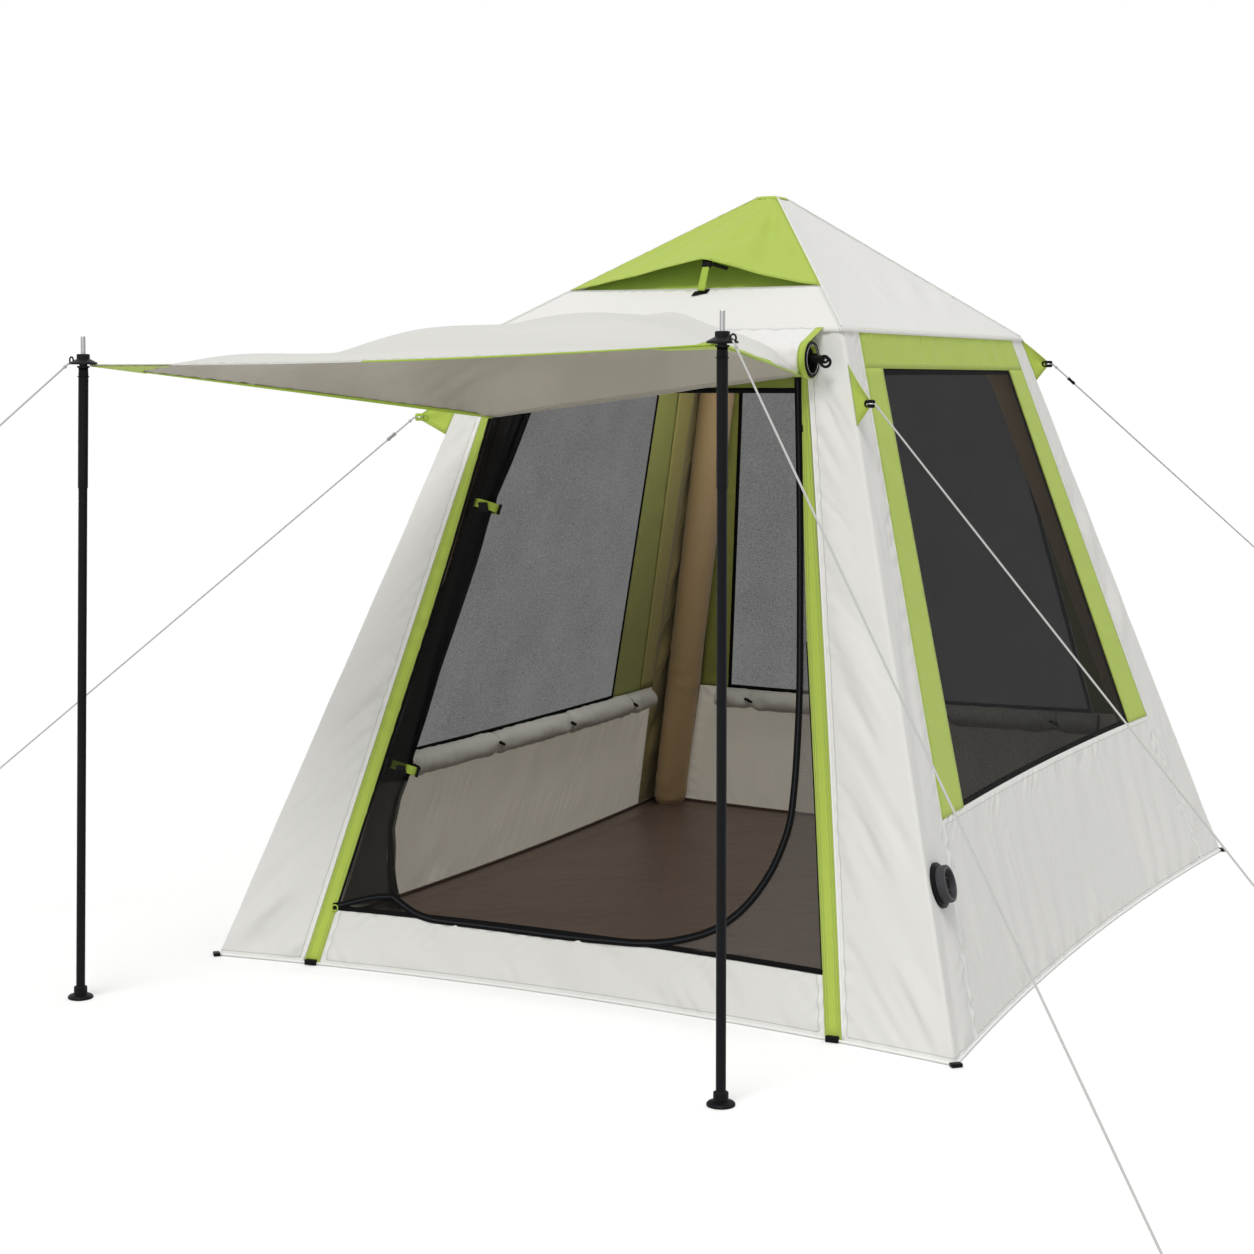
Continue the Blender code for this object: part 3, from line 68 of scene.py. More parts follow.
CORNERS = {"front_left": (-1, -1), "front_right": (1, -1), "back_left": (-1, 1), "back_right": (1, 1)}
SIDES = ("front", "right", "back", "left")
UP = (0.0, 0.0, 1.0)

# Thickness of the cloths, and radius of the pipings
CLOTH, TAPE, THIN = 0.0012, 0.001, 0.0008
STRIP_PIPING, HEM_PIPING, RIDGE_PIPING = 0.003, 0.0036, 0.0026


# Arrays and surfaces

def mix(a, b, share):
    return a + (b - a) * share


def row(low, high, count):
    """Evenly spaced numbers along the columns of a grid."""
    return np.linspace(low, high, count)[None, :]


def column(low, high, count):
    """Evenly spaced numbers up the rows of a grid."""
    return np.linspace(low, high, count)[:, None]


def clamped(values):
    return np.clip(values, 0.0, 1.0)


def bell(distance, width):
    """exp(-(distance / width)^2)"""
    return np.exp(-(distance / width) ** 2)


def circle(count):
    """Angles once round, the last one short of the first."""
    return np.linspace(0.0, 2.0 * np.pi, count, endpoint=False)


def stacked(x, y, z):
    """Points from three arrays, spread to one shape."""
    return np.stack(np.broadcast_arrays(x, y, z), axis=-1)


def unit(vectors):
    """Vectors of length 1."""
    return vectors / np.linalg.norm(vectors, axis=-1, keepdims=True)


def half_x(z):
    return mix(BASE_HALF_X, EAVE_HALF_X, z / EAVE_HEIGHT)


def half_y(z):
    return mix(BASE_HALF_Y, EAVE_HALF_Y, z / EAVE_HEIGHT)


def runs_along_x(side):
    return side in ("front", "back")


def on_side(side, a, out):
    """Plan coordinates of a point that is a across a side and out from the middle."""
    return {"front": (a, -out), "back": (-a, out), "right": (out, a), "left": (-out, -a)}[side]


def wall_at(side, a, z, depth=0.0):
    """Points of a wall, a across it and z up it: out = half(z) - bow (1 - (a / across)^2)(1 - z / eave)."""
    a, z = np.broadcast_arrays(np.asarray(a, float), np.asarray(z, float))
    if runs_along_x(side):
        across, out, bow = half_x(z), half_y(z), FRONT_HEM_BOW
    else:
        across, out, bow = half_y(z), half_x(z), SIDE_HEM_BOW
    out = out - bow * (1.0 - (a / across) ** 2) * (1.0 - z / EAVE_HEIGHT) - depth
    return stacked(*on_side(side, a, out), z)


def strip_width(z):
    return 0.0465 - 0.0285 * np.clip((z - 0.95) / 0.685, 0.0, 1.1) ** 1.5


def right_outer(z):
    return 0.7895 - 0.175 * z - 0.011 * z ** 2


def left_outer(z):
    return 0.829 - 0.19 * z - 0.003 * z ** 2


def right_inner(z):
    return right_outer(z) - strip_width(z)


def left_inner(z):
    return left_outer(z) - strip_width(z)


STRIPS = (("left", -1.0, left_outer), ("right", 1.0, right_outer))


def through(points, steps=10):
    """A Catmull-Rom curve through the points: each span blends its four neighbours by cubics."""
    p = np.asarray(points, float)
    p = np.concatenate([[2.0 * p[0] - p[1]], p, [2.0 * p[-1] - p[-2]]])
    t = np.linspace(0.0, 1.0, steps, endpoint=False)[:, None]
    spans = [0.5 * (2.0 * b + (c - a) * t + (2.0 * a - 5.0 * b + 4.0 * c - d) * t ** 2
                    + (3.0 * b - a - 3.0 * c + d) * t ** 3)
             for a, b, c, d in zip(p[:-3], p[1:-2], p[2:-1], p[3:])]
    return np.concatenate(spans + [p[-2:-1]])


def frame_border(z, half, narrowing, widening):
    """Half width of a window surround: it narrows above the sill and widens below it."""
    return half - np.where(z >= WINDOW_SILL, narrowing, widening) * (z - WINDOW_SILL)


def side_frame(z):
    return frame_border(z, 1.003, 0.27, 0.34)


def side_window(z):
    return 0.812 - 0.22 * (z - WINDOW_SILL)


def back_frame(z):
    return frame_border(z, 0.815, 0.235, 0.3)


def back_window(z):
    return 0.693 - 0.184 * (z - WINDOW_SILL)


WALLS = (("right", side_frame), ("left", side_frame), ("back", back_frame))


def minus(border):
    return lambda z: -border(z)


def sill_of(side):
    return WINDOW_SILL - {"right": 0.0, "left": 0.024, "back": 0.032}[side]


def window_edges(side):
    """Borders of a window's net; the left one's ends further from the back corner than the right one's."""
    window = back_window if side == "back" else side_window
    low = (lambda z: 0.158 - side_window(z)) if side == "left" else minus(window)
    return low, window


def roof_at(side, a, share, lift=0.0):
    """Points of a roof slope: a from -1 to 1 across it, share from the eave to the apex."""
    x, y = mix(EAVE_HALF_X, APEX_FLAT, share), mix(EAVE_HALF_Y, APEX_FLAT, share)
    across, out = (x, y) if runs_along_x(side) else (y, x)
    return stacked(*on_side(side, a * across, out), mix(EAVE_HEIGHT, APEX_HEIGHT, share) + lift)


def awning_curve(u, v):
    """The awning: u across from the left, v from the poles back; a swell over v times an arch over u."""
    front_z = mix(HUB_LEFT[2], HUB_RIGHT[2], u) - 0.014 * np.sin(np.pi * u)
    rear_z = mix(SEAT_LEFT_Z, SEAT_Z, u)
    rising = np.sin(0.5 * np.pi * np.minimum(v, 0.9) / 0.9)
    falling = np.cos(0.5 * np.pi * (np.clip(v, 0.9, 1.0) - 0.9) / 0.1) ** 0.7
    swell = np.where(v < 0.9, rising, falling)
    arch = np.sin(np.pi * clamped(u)) ** 0.75
    crest = 0.016 * np.exp(-((u - 0.7) / 0.055) ** 2 - ((v - 0.86) / 0.1) ** 2)
    return stacked(mix(mix(AWNING_LEFT, AWNING_RIGHT, u), mix(-0.49, 0.48, u), v),
                   mix(AWNING_FRONT, SEAT_Y, v),
                   mix(front_z, rear_z, v) + 0.203 * swell * arch + crest)


def awning_at(u, v):
    """The awning with its last strip, behind v = 13/14, straight to its seat under the header tube."""
    u, v = np.broadcast_arrays(np.asarray(u, float), np.asarray(v, float))
    last = 13.0 / 14.0
    share = clamped((v - last) / (1.0 - last))[..., None]
    return mix(awning_curve(u, np.minimum(v, last)), awning_curve(u, np.ones_like(v)), share)


def normals_of(grid):
    """Unit normals of a grid (rows, columns, 3): the column step crossed with the row step."""
    normal = np.cross(np.gradient(grid, axis=1), np.gradient(grid, axis=0))
    return normal / np.maximum(np.linalg.norm(normal, axis=-1, keepdims=True), 1e-12)


def lengths(grid):
    """Metres run along each row and up each column of a grid."""
    across = np.linalg.norm(np.diff(grid, axis=1), axis=-1)
    up = np.linalg.norm(np.diff(grid, axis=0), axis=-1)
    u = np.concatenate([np.zeros((grid.shape[0], 1)), np.cumsum(across, axis=1)], axis=1)
    v = np.concatenate([np.zeros((1, grid.shape[1])), np.cumsum(up, axis=0)], axis=0)
    return u, v


def seam_distance(grid, borders):
    """Metres to the nearest of the named borders (l, r, b, t), and metres along that border."""
    u, v = lengths(grid)
    distance, along = np.full(u.shape, 1.0), v.copy()
    for letter in borders:
        reach = {"l": u, "r": u[:, -1:] - u, "b": v, "t": v[-1:] - v}[letter]
        place = v if letter in "lr" else u
        nearer = reach < distance
        distance, along = np.where(nearer, reach, distance), np.where(nearer, place, along)
    return distance, along


def waves(u, v, seed, scale, heading, spread=0.4, count=6):
    """A sum of sines over (u, v): wavelengths near scale, each heading drawn about the given one."""
    draw = np.random.default_rng(seed)
    total = np.zeros(np.shape(u))
    for _ in range(count):
        angle = heading + draw.normal(0.0, spread)
        k = 2.0 * np.pi / (scale * draw.uniform(0.65, 1.5))
        phase = draw.uniform(0.0, 2.0 * np.pi)
        total = total + np.sin(k * (u * np.cos(angle) + v * np.sin(angle)) + phase)
    return total / math.sqrt(count)


def folded(grid, seed, soft=0.003, scale=0.2, heading=0.3, spread=0.35, pucker=0.001,
           pinned="lrbt", fade=0.09, rays=0.0012, slant=0.7):
    """Folds along the normals: soft waves, finer streaks within them, and puckers beside the seams.

    The waves fade at the pinned borders. Puckers follow (d / s) exp(1 - d / s) in the distance d from
    a seam and rays follow exp(-d / 0.05) along a slanted line, so neighbouring cloths still meet.
    """
    u, v = lengths(grid)
    distance, along = seam_distance(grid, pinned)
    calm = clamped(distance / fade)
    calm = calm * calm * (3.0 - 2.0 * calm)
    patchy = 0.55 + 0.45 * waves(u, v, seed + 7, scale * 2.7, heading + 1.2, 0.8, 4)
    height = soft * waves(u, v, seed, scale, heading, spread) * calm * patchy
    streak = np.clip(0.5 + 0.7 * waves(u, v, seed + 11, scale * 1.9, heading + 0.9, 0.8, 4), 0.0, 1.3)
    height += 0.22 * soft * waves(u, v, seed + 13, scale * 0.33, heading, 0.5 * spread) * calm * streak
    reach = 0.014
    lane = (distance / reach) * np.exp(1.0 - distance / reach)
    height += pucker * lane * waves(along, distance, seed + 3, 0.048, 0.0, 0.5, 4)
    fan = np.exp(-distance / 0.05) * (1.0 - np.exp(-distance / 0.008))
    uneven = np.clip(0.5 + 0.8 * waves(along, distance, seed + 17, 0.33, 0.0, 0.3, 3), 0.0, 1.4)
    rayed = waves(along + slant * distance, 0.3 * distance, seed + 5, 0.046, 0.0, 0.2, 4)
    height += rays * fan * uneven * rayed
    return grid + normals_of(grid) * height[..., None]


def sampled(grid, rows, columns):
    """A grid read between its points, bilinearly, at arrays of row and column numbers."""
    rows, columns = np.broadcast_arrays(np.asarray(rows, float), np.asarray(columns, float))
    i = np.clip(np.floor(rows).astype(int), 0, grid.shape[0] - 2)
    j = np.clip(np.floor(columns).astype(int), 0, grid.shape[1] - 2)
    s, t = (rows - i)[..., None], (columns - j)[..., None]
    return ((1 - s) * ((1 - t) * grid[i, j] + t * grid[i, j + 1])
            + s * ((1 - t) * grid[i + 1, j] + t * grid[i + 1, j + 1]))


def wall_patch(side, low, high, bottom, top, cell=0.012, depth=0.0):
    """A grid over a wall between two border functions and two heights."""
    z = column(bottom, top, max(2, int(round((top - bottom) / cell)) + 1))
    first, last = low(z), high(z)
    share = row(0.0, 1.0, max(3, int(round(np.max(np.abs(last - first)) / cell)) + 1))
    return wall_at(side, first * (1.0 - share) + last * share, z, depth)


# Colours and materials

def colour(code):
    """A linear colour, RGBA, from a written sRGB hex code."""
    channels = [int(code[i:i + 2], 16) / 255.0 for i in (1, 3, 5)]
    return [c / 12.92 if c <= 0.04045 else ((c + 0.055) / 1.055) ** 2.4 for c in channels] + [1.0]


def set_inputs(tree, target, values):
    """Set a node's inputs, by name or number: constants on the sockets themselves, others as links."""
    for key, value in values.items():
        if isinstance(value, bpy.types.NodeSocket):
            tree.links.new(value, target.inputs[key])
        else:
            target.inputs[key].default_value = value


def node(tree, kind, values=None, **settings):
    """One shader node with its settings and its inputs."""
    made = tree.nodes.new("ShaderNode" + kind)
    for key, value in settings.items():
        setattr(made, key, value)
    set_inputs(tree, made, values or {})
    return made


def maths(tree, operation, a, b=0.0, c=0.0):
    return node(tree, "Math", {0: a, 1: b, 2: c}, operation=operation).outputs[0]


def noise(tree, place, scale, detail, roughness=0.5, distortion=0.0):
    return node(tree, "TexNoise", {"Vector": place, "Scale": scale, "Detail": detail,
                                   "Roughness": roughness, "Distortion": distortion}).outputs["Fac"]


def ranged(tree, value, low, high, start=0.0, end=1.0):
    """A value mapped from start and end to low and high."""
    return node(tree, "MapRange", {"Value": value, "From Min": start, "From Max": end,
                                   "To Min": low, "To Max": high}).outputs[0]


def bumped(tree, height, distance, strength, under=None, invert=False):
    """A normal bent by a height, on top of another bump."""
    values = {"Height": height, "Distance": distance, "Strength": strength}
    return node(tree, "Bump", {**values, "Normal": under} if under else values, invert=invert).outputs[0]


def blank(name):
    """A new material, its shader (Blender's own Principled node) and the object's own coordinates."""
    made = bpy.data.materials.new(name)
    made.use_nodes = True
    tree = made.node_tree
    return made, tree, tree.nodes["Principled BSDF"], node(tree, "TexCoord").outputs["Object"]


def tinted(tree, base, factor, other):
    """base turned towards other by factor."""
    return node(tree, "Mix", {"Factor": factor, "A": base, "B": other},
                data_type="RGBA").outputs["Result"]


def stitch_lines(tree, rows):
    """1 on the stitches beside a seam, from the cloth's own map: U is metres from it, V metres along."""
    place = node(tree, "UVMap", uv_map="seam")
    split = node(tree, "SeparateXYZ", {0: place.outputs[0]})
    lines = None
    for distance in rows:
        line = maths(tree, "COMPARE", split.outputs[0], distance, 0.0011)
        lines = line if lines is None else maths(tree, "MAXIMUM", lines, line)
    beat = maths(tree, "FRACT", maths(tree, "MULTIPLY", split.outputs[1], 1.0 / 0.0052))
    return maths(tree, "MULTIPLY", lines, maths(tree, "LESS_THAN", beat, 0.72)), split.outputs[0]


def fabric(name, base, shade, roughness=0.8, crumple=0.0016, stitched=True, sheen=0.12, grain=0.1,
           specular=0.25, rows=(0.0045, 0.0105), hem=0.0, glow=0.0):
    """Woven cloth: what gives the look is the matt sheen, soft crumples and the stitch rows.

    hem is the width of a paler doubled edge; glow is painted light, an emission for the daylight that comes
    through thin cloth.
    """
    made, tree, shader, place = blank(name)
    cloud = ranged(tree, noise(tree, place, 2.6, 4.0, 0.55), 0.0, grain, 0.35, 0.65)
    tone = tinted(tree, colour(base), cloud, colour(shade))
    normal = bumped(tree, noise(tree, place, 9.0, 5.0, 0.5, 0.6), crumple, 1.0)
    normal = bumped(tree, noise(tree, place, 420.0, 2.0), 0.00015, 0.5, normal)
    if stitched:
        lines, reach = stitch_lines(tree, rows)
        if hem:
            doubled = maths(tree, "LESS_THAN", reach, hem)
            tone = tinted(tree, tone, maths(tree, "MULTIPLY", doubled, 0.3), colour("#F1F1EE"))
        tone = tinted(tree, tone, maths(tree, "MULTIPLY", lines, 0.42), colour("#55564F"))
        normal = bumped(tree, lines, 0.0006, 0.8, normal, invert=True)
    set_inputs(tree, shader, {
        "Base Color": tone, "Normal": normal, "Roughness": roughness, "Sheen Weight": sheen,
        "Sheen Roughness": 0.5, "Specular IOR Level": specular, "Emission Color": colour(base),
        "Emission Strength": glow})
    return made


def netting(name, base, cover):
    """Fine insect net: mostly open to light, so cover is the share that its threads block."""
    made, tree, shader, place = blank(name)
    share = ranged(tree, noise(tree, place, 260.0, 1.0), cover - 0.045, cover + 0.045, 0.3, 0.7)
    haze = maths(tree, "SUBTRACT", noise(tree, place, 5.0, 3.0), 0.5)
    set_inputs(tree, shader, {
        "Base Color": colour(base), "Roughness": 0.75, "Specular IOR Level": 0.05,
        "Alpha": maths(tree, "ADD", share, maths(tree, "MULTIPLY", haze, 0.05))})
    return made


def moulded(name, base, roughness, metallic=0.0, grain=0.00008, scale=900.0):
    """Plastic or painted metal: what gives the look is the gloss and a very fine grain."""
    made, tree, shader, place = blank(name)
    fine = noise(tree, place, scale, 2.0)
    set_inputs(tree, shader, {
        "Base Color": colour(base), "Metallic": metallic, "Normal": bumped(tree, fine, grain, 0.5),
        "Roughness": ranged(tree, fine, roughness - 0.06, roughness + 0.08),
        "Specular IOR Level": 0.1 if metallic == 0.0 else 0.5})
    return made


WHITE = fabric("white_polyester", "#DDDCD8", "#D1D0CB", rows=(0.017,), hem=0.0162)
# The white cloth's inner face; its glow is painted light, an emission for the daylight through the cloth.
WHITE_INSIDE = fabric("white_polyester_inside", "#C9C4B8", "#BDB7AA", glow=0.22)
# The roof's copy of the white cloth, lighter than the walls': painted light on the roof.
CANOPY = fabric("white_polyester_roof_painted_light", "#E5E4E0", "#DAD9D5", crumple=0.0012)
# The header's copy of the white cloth, lighter than the walls': painted light on the header tube.
HEADER_CLOTH = fabric("white_polyester_header_painted_light", "#E8E7E4", "#DCDBD7", crumple=0.0014)
GREEN = fabric("green_polyester", "#AEC352", "#A2B84A", grain=0.25)
# The band over the door: the green cloth painted a darker olive, as painted shade under the awning.
GREEN_PAINTED_SHADE = fabric("green_polyester_painted_shade", "#7C863A", "#727C34", grain=0.15)
# The green cloth's inner face painted olive: painted shade inside the cabin, with the daylight through the
# green cloth painted in.
GREEN_INSIDE_PAINTED_SHADE = fabric("green_inside_painted_shade", "#93974C", "#878B44", stitched=False)
# A lighter olive for the green cloth's inner face by the left window: painted shade, lighter there.
LIGHTER_GREEN_INSIDE_PAINTED_SHADE = fabric("lighter_green_inside_painted_shade", "#A39C5A", "#979052", stitched=False)
TAN_LINING = fabric("tan_lining", "#9E9360", "#928756", stitched=False)
# The green cloth's inner face under the hood: a little darker than the green as painted shade, with a faint
# glow painted in for the daylight through it.
HOOD_INSIDE = fabric("green_polyester_inside", "#A9C04F", "#9DB446", stitched=False, glow=0.05)
# The awning top's copy of the white cloth, a little darker than the walls': painted shade.
AWNING_TOP = fabric("white_polyester_awning_painted_shade", "#D7D6D1", "#C9C8C3", crumple=0.001)
# The awning's underside, a darker beige than its top: painted shade under the awning.
AWNING_UNDER_PAINTED_SHADE = fabric("awning_underside_painted_shade", "#B9B4A6", "#948F82", crumple=0.0014, roughness=0.7,
                      grain=0.45)
BEAM_COVER = fabric("beam_cover", "#B79C74", "#A38862", crumple=0.0022, stitched=False, sheen=0.2)
FLOOR_SHEET = fabric("coated_ground_sheet", "#6A5A51", "#5E4F46", roughness=0.42, crumple=0.004,
                     stitched=False, sheen=0.0)
ROLLED = fabric("rolled_curtain", "#C2C1BA", "#AAA9A2", crumple=0.0034, stitched=False)
PIPING = fabric("white_piping", "#EDEDEA", "#E2E2DE", stitched=False, crumple=0.0004)
WEBBING = fabric("green_webbing", "#A2BB47", "#92AA3D", stitched=False, crumple=0.0004)
BINDING = fabric("black_binding", "#0E0E0E", "#151515", stitched=False, crumple=0.0005, sheen=0.0,
                 specular=0.08)
COIL = fabric("zip_coil", "#2A2C2F", "#232528", stitched=False, crumple=0.0003, sheen=0.0, specular=0.15)
NET = netting("insect_net", "#1A1A1A", 0.855)
DOOR_NET = netting("door_net", "#161616", 0.84)
FLARE_NET = netting("door_net_flare", "#1B1B1B", 0.6)
FIXED_NET = netting("fixed_door_net", "#5E5A56", 0.5)
FIXED_NET_LEFT = netting("fixed_door_net_left", "#1C1B1A", 0.62)
BLACK = moulded("black_plastic", "#0E0E0E", 0.42)
PALE = moulded("pale_plastic", "#9A9A97", 0.45)
GREY = moulded("grey_plastic", "#414143", 0.45)
POLE_PAINT = moulded("powder_coated_steel", "#101113", 0.46, 0.0, 0.00012, 700.0)
STEEL = moulded("bright_steel", "#A9A9A9", 0.25, 1.0)
CORD = fabric("guy_cord", "#BDBDBA", "#B2B2AF", stitched=False, crumple=0.0002, grain=0.05)
BLACK_CORD = fabric("black_cord", "#121212", "#1A1A1A", stitched=False, crumple=0.0004, sheen=0.0,
                    specular=0.1)


# Pieces

def place_piece(made, finish, body="cabin", slot=None, stands_for=()):
    """Give a piece its body and hide the part's solids that it stands for; finish and slot are not used."""
    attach(made, body)
    if stands_for:
        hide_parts(*stands_for)
    return made


def linked(name, data):
    """A new object with its data, in the scene."""
    made = bpy.data.objects.new(name, data)
    bpy.context.scene.collection.objects.link(made)
    return made


def reshape(mesh, operator, *parts, **settings):
    """Run one bmesh operator on a mesh."""
    bm = bmesh.new()
    bm.from_mesh(mesh)
    operator(bm, **{part: getattr(bm, part)[:] for part in parts}, **settings)
    bm.to_mesh(mesh)
    bm.free()


def new_mesh(name, points, faces, materials, uv=None):
    """A smooth mesh object from an array of points and lists of corners."""
    mesh = bpy.data.meshes.new(name)
    mesh.from_pydata([tuple(p) for p in points], [], faces)
    for finish in materials:
        mesh.materials.append(finish)
    if uv is not None:
        layer = mesh.uv_layers.new(name="seam")
        corners = np.fromiter((corner for face in faces for corner in face), int)
        layer.data.foreach_set("uv", uv[corners].astype(np.float32).ravel())
    mesh.polygons.foreach_set("use_smooth", np.ones(len(faces), bool))
    return linked(name, mesh)


def grid_faces(rows, columns, offset=0, wrap=False):
    """Corners of a grid's quads; with wrap the last column joins the first."""
    index = np.arange(rows * columns).reshape(rows, columns) + offset
    if wrap:
        index = np.concatenate([index, index[:, :1]], axis=1)
    return np.stack([index[:-1, :-1], index[:-1, 1:], index[1:, 1:], index[1:, :-1]],
                    axis=-1).reshape(-1, 4).tolist()


def paired(patches):
    """Patches as (grid, stitched borders); a lone grid is one patch without stitches."""
    return [(patches, "")] if isinstance(patches, np.ndarray) else patches


def cloth(name, patches, outer, inner=None, thickness=CLOTH, weld=False, **place):
    """One cloth from (grid, stitched borders) patches or a lone grid, thickened away from its face."""
    points, faces, uvs = [], [], []
    for grid, stitched in paired(patches):
        faces += grid_faces(*grid.shape[:2], offset=sum(len(p) for p in points))
        points.append(grid.reshape(-1, 3))
        uvs.append(np.stack(seam_distance(grid, stitched), axis=-1).reshape(-1, 2))
    materials = [outer] + ([inner] if inner else [])
    made = new_mesh(name, np.concatenate(points), faces, materials, np.concatenate(uvs))
    if weld:
        reshape(made.data, bmesh.ops.remove_doubles, "verts", dist=0.00002)
    if thickness > 0.0:
        solid = made.modifiers.new("thickness", "SOLIDIFY")
        solid.thickness = thickness
        solid.offset = -1.0
        solid.material_offset = 1 if inner else 0
    return place_piece(made, outer, **place)


def sheet(name, patches, outer, inner=None, held="stretched", on=(), with_pieces=(), **rest):
    """A cloth; the size of its own cut, its widest, its longest and its area, is worked out and not used.
    """
    made = cloth(name, patches, outer, inner, **rest)
    grids = [grid for grid, _ in paired(patches)]
    spans = [lengths(grid) for grid in grids]
    width = sum(float(u[:, -1].max()) for u, v in spans)
    length = max(float(v[-1].max()) for u, v in spans)
    area = sum(area_of(grid) for grid in grids)
    if area < 0.35 * width * length:
        length = area / (0.9 * width)


def area_of(grid):
    """Square metres of a grid, as two triangles a cell."""
    a, b, c, d = grid[:-1, :-1], grid[:-1, 1:], grid[1:, 1:], grid[1:, :-1]
    return 0.5 * float(np.linalg.norm(np.cross(b - a, c - a), axis=-1).sum()
                       + np.linalg.norm(np.cross(c - a, d - a), axis=-1).sum())


def transported(path):
    """Two cross directions along a path, turned as little as possible."""
    tangent = unit(np.gradient(path, axis=0))
    side = np.cross(tangent[0], UP)
    if np.linalg.norm(side) < 0.05:
        side = np.cross(tangent[0], (1.0, 0.0, 0.0))
    sides = []
    for along in tangent:
        side = side - along * np.dot(side, along)
        side = side / np.linalg.norm(side)
        sides.append(side)
    return np.array(sides), np.cross(tangent, sides)


def tube(name, path, radius, finish, sides=12, ring=1.0, **place):
    """A round tube along a path with closed ends; ring scales the radius by (step, angle)."""
    path = np.asarray(path, float)
    across, over = transported(path)
    angle = circle(sides)
    reach = np.broadcast_to(radius * ring, (len(path), sides))
    points = (path[:, None] + reach[..., None] * (np.cos(angle)[None, :, None] * across[:, None]
                                                  + np.sin(angle)[None, :, None] * over[:, None]))
    faces = grid_faces(len(path), sides, wrap=True)
    faces += [list(range(sides - 1, -1, -1)), list(range((len(path) - 1) * sides, len(path) * sides))]
    return place_piece(new_mesh(name, points.reshape(-1, 3), faces, [finish]), finish, **place)


def torus(name, centre, axis, radius, wire, finish, **place):
    """A closed ring of round wire about an axis."""
    turn = Vector(axis).normalized().to_track_quat("Z", "Y").to_matrix()
    big, small = 28, 8
    t = circle(big)[:, None]
    s = circle(small)[None, :]
    reach = radius + wire * np.cos(s)
    local = stacked(reach * np.cos(t), reach * np.sin(t), wire * np.sin(s)).reshape(-1, 3)
    points = local @ np.array(turn).T + np.array(centre)
    index = np.pad(np.arange(big * small).reshape(big, small), (0, 1), mode="wrap")
    faces = np.stack([index[:-1, :-1], index[1:, :-1], index[1:, 1:], index[:-1, 1:]], axis=-1)
    return place_piece(new_mesh(name, points, faces.reshape(-1, 4).tolist(), [finish]), finish, **place)


def block(name, centre, size, axes, finish, bevel=0.001, **place):
    """A moulded block: size along three directions, its edges rounded."""
    frame_of = np.array([Vector(axis).normalized() for axis in axes])
    signs = np.array([(x, y, z) for x in (-0.5, 0.5) for y in (-0.5, 0.5) for z in (-0.5, 0.5)])
    points = (signs * np.array(size)) @ frame_of + np.array(centre)
    faces = [(0, 1, 3, 2), (4, 6, 7, 5), (0, 4, 5, 1), (2, 3, 7, 6), (0, 2, 6, 4), (1, 5, 7, 3)]
    made = new_mesh(name, points, faces, [finish])
    reshape(made.data, bmesh.ops.recalc_face_normals, "faces")
    edge = made.modifiers.new("edges", "BEVEL")
    edge.width, edge.segments = bevel, 3
    return place_piece(made, finish, **place)


def rope_curve(name, start, end, points=24):
    """A rope as one open straight spline from start to end."""
    curve = bpy.data.curves.new(name, "CURVE")
    curve.dimensions = "3D"
    curve.bevel_depth = ROPE_DIAMETER / 2.0
    curve.bevel_resolution = 3
    curve.use_fill_caps = True
    spline = curve.splines.new("POLY")
    spline.points.add(points - 1)
    for k, point in enumerate(spline.points):
        point.co = (*start.lerp(end, k / (points - 1)), 1.0)
    curve.materials.append(CORD)
    return linked(name, curve)


# Camera

def build_camera():
    data = bpy.data.cameras.new("camera")
    data.lens, data.sensor_width = 63.7, 36.0
    data.shift_y = -0.11
    data.clip_start, data.clip_end = 0.1, 100.0
    camera = linked("camera", data)
    camera.location = (2.836, -6.344, 1.627)
    camera.rotation_euler = (math.radians(87.24), 0.0, math.radians(27.8))
    bpy.context.scene.camera = camera


# Guy ropes: seat, end and length; each is straight, as far towards its anchor as the view shows

ROPES = {
    "pole_left": ((-1.1484, -1.89946, 1.678), (-1.42162, -1.97793, 1.44378), 0.3683),
    "pole_right": ((0.76007, -1.90643, 1.718), (1.88288, -2.48101, 0.05982), 2.0834),
    "front_left": ((-0.73555, -0.89928, 1.525), (-1.99567, -1.37756, 0.4078), 1.7507),
    "front_right": ((0.69385, -0.88717, 1.57), (1.87799, -1.55152, 0.49015), 1.7348),
    "back_right": ((0.63822, 0.86347, 1.687), (1.21562, 1.46645, 1.02261), 1.067),
}


def build_ropes():
    for name, (start, end, length) in ROPES.items():
        start, end = Vector(start), Vector(end)
        along = (end - start).normalized()
        made = rope_curve("rope_" + name, start, end)
        place_piece(made, CORD, stands_for=["guy_rope_" + name])
        turns = [(f"knot_{k}", end - along * gap, along, 0.003, 0.0019)
                 for k, gap in enumerate((0.01, 0.0135, 0.017))]
        turns.append(("end_loop", end + along * 0.004, along.cross(Vector(UP)), 0.0095, 0.0018))
        turns += [(f"lash_{k}", start + along * gap, along, 0.003, 0.0017)
                  for k, gap in enumerate((0.016, 0.0195))]
        extras = [torus(f"rope_{name}_{piece}", *shape, CORD) for piece, *shape in turns]
        if name in ("front_left", "back_right"):
            extras.append(NODES["tensioner_" + name])


# Cabin walls

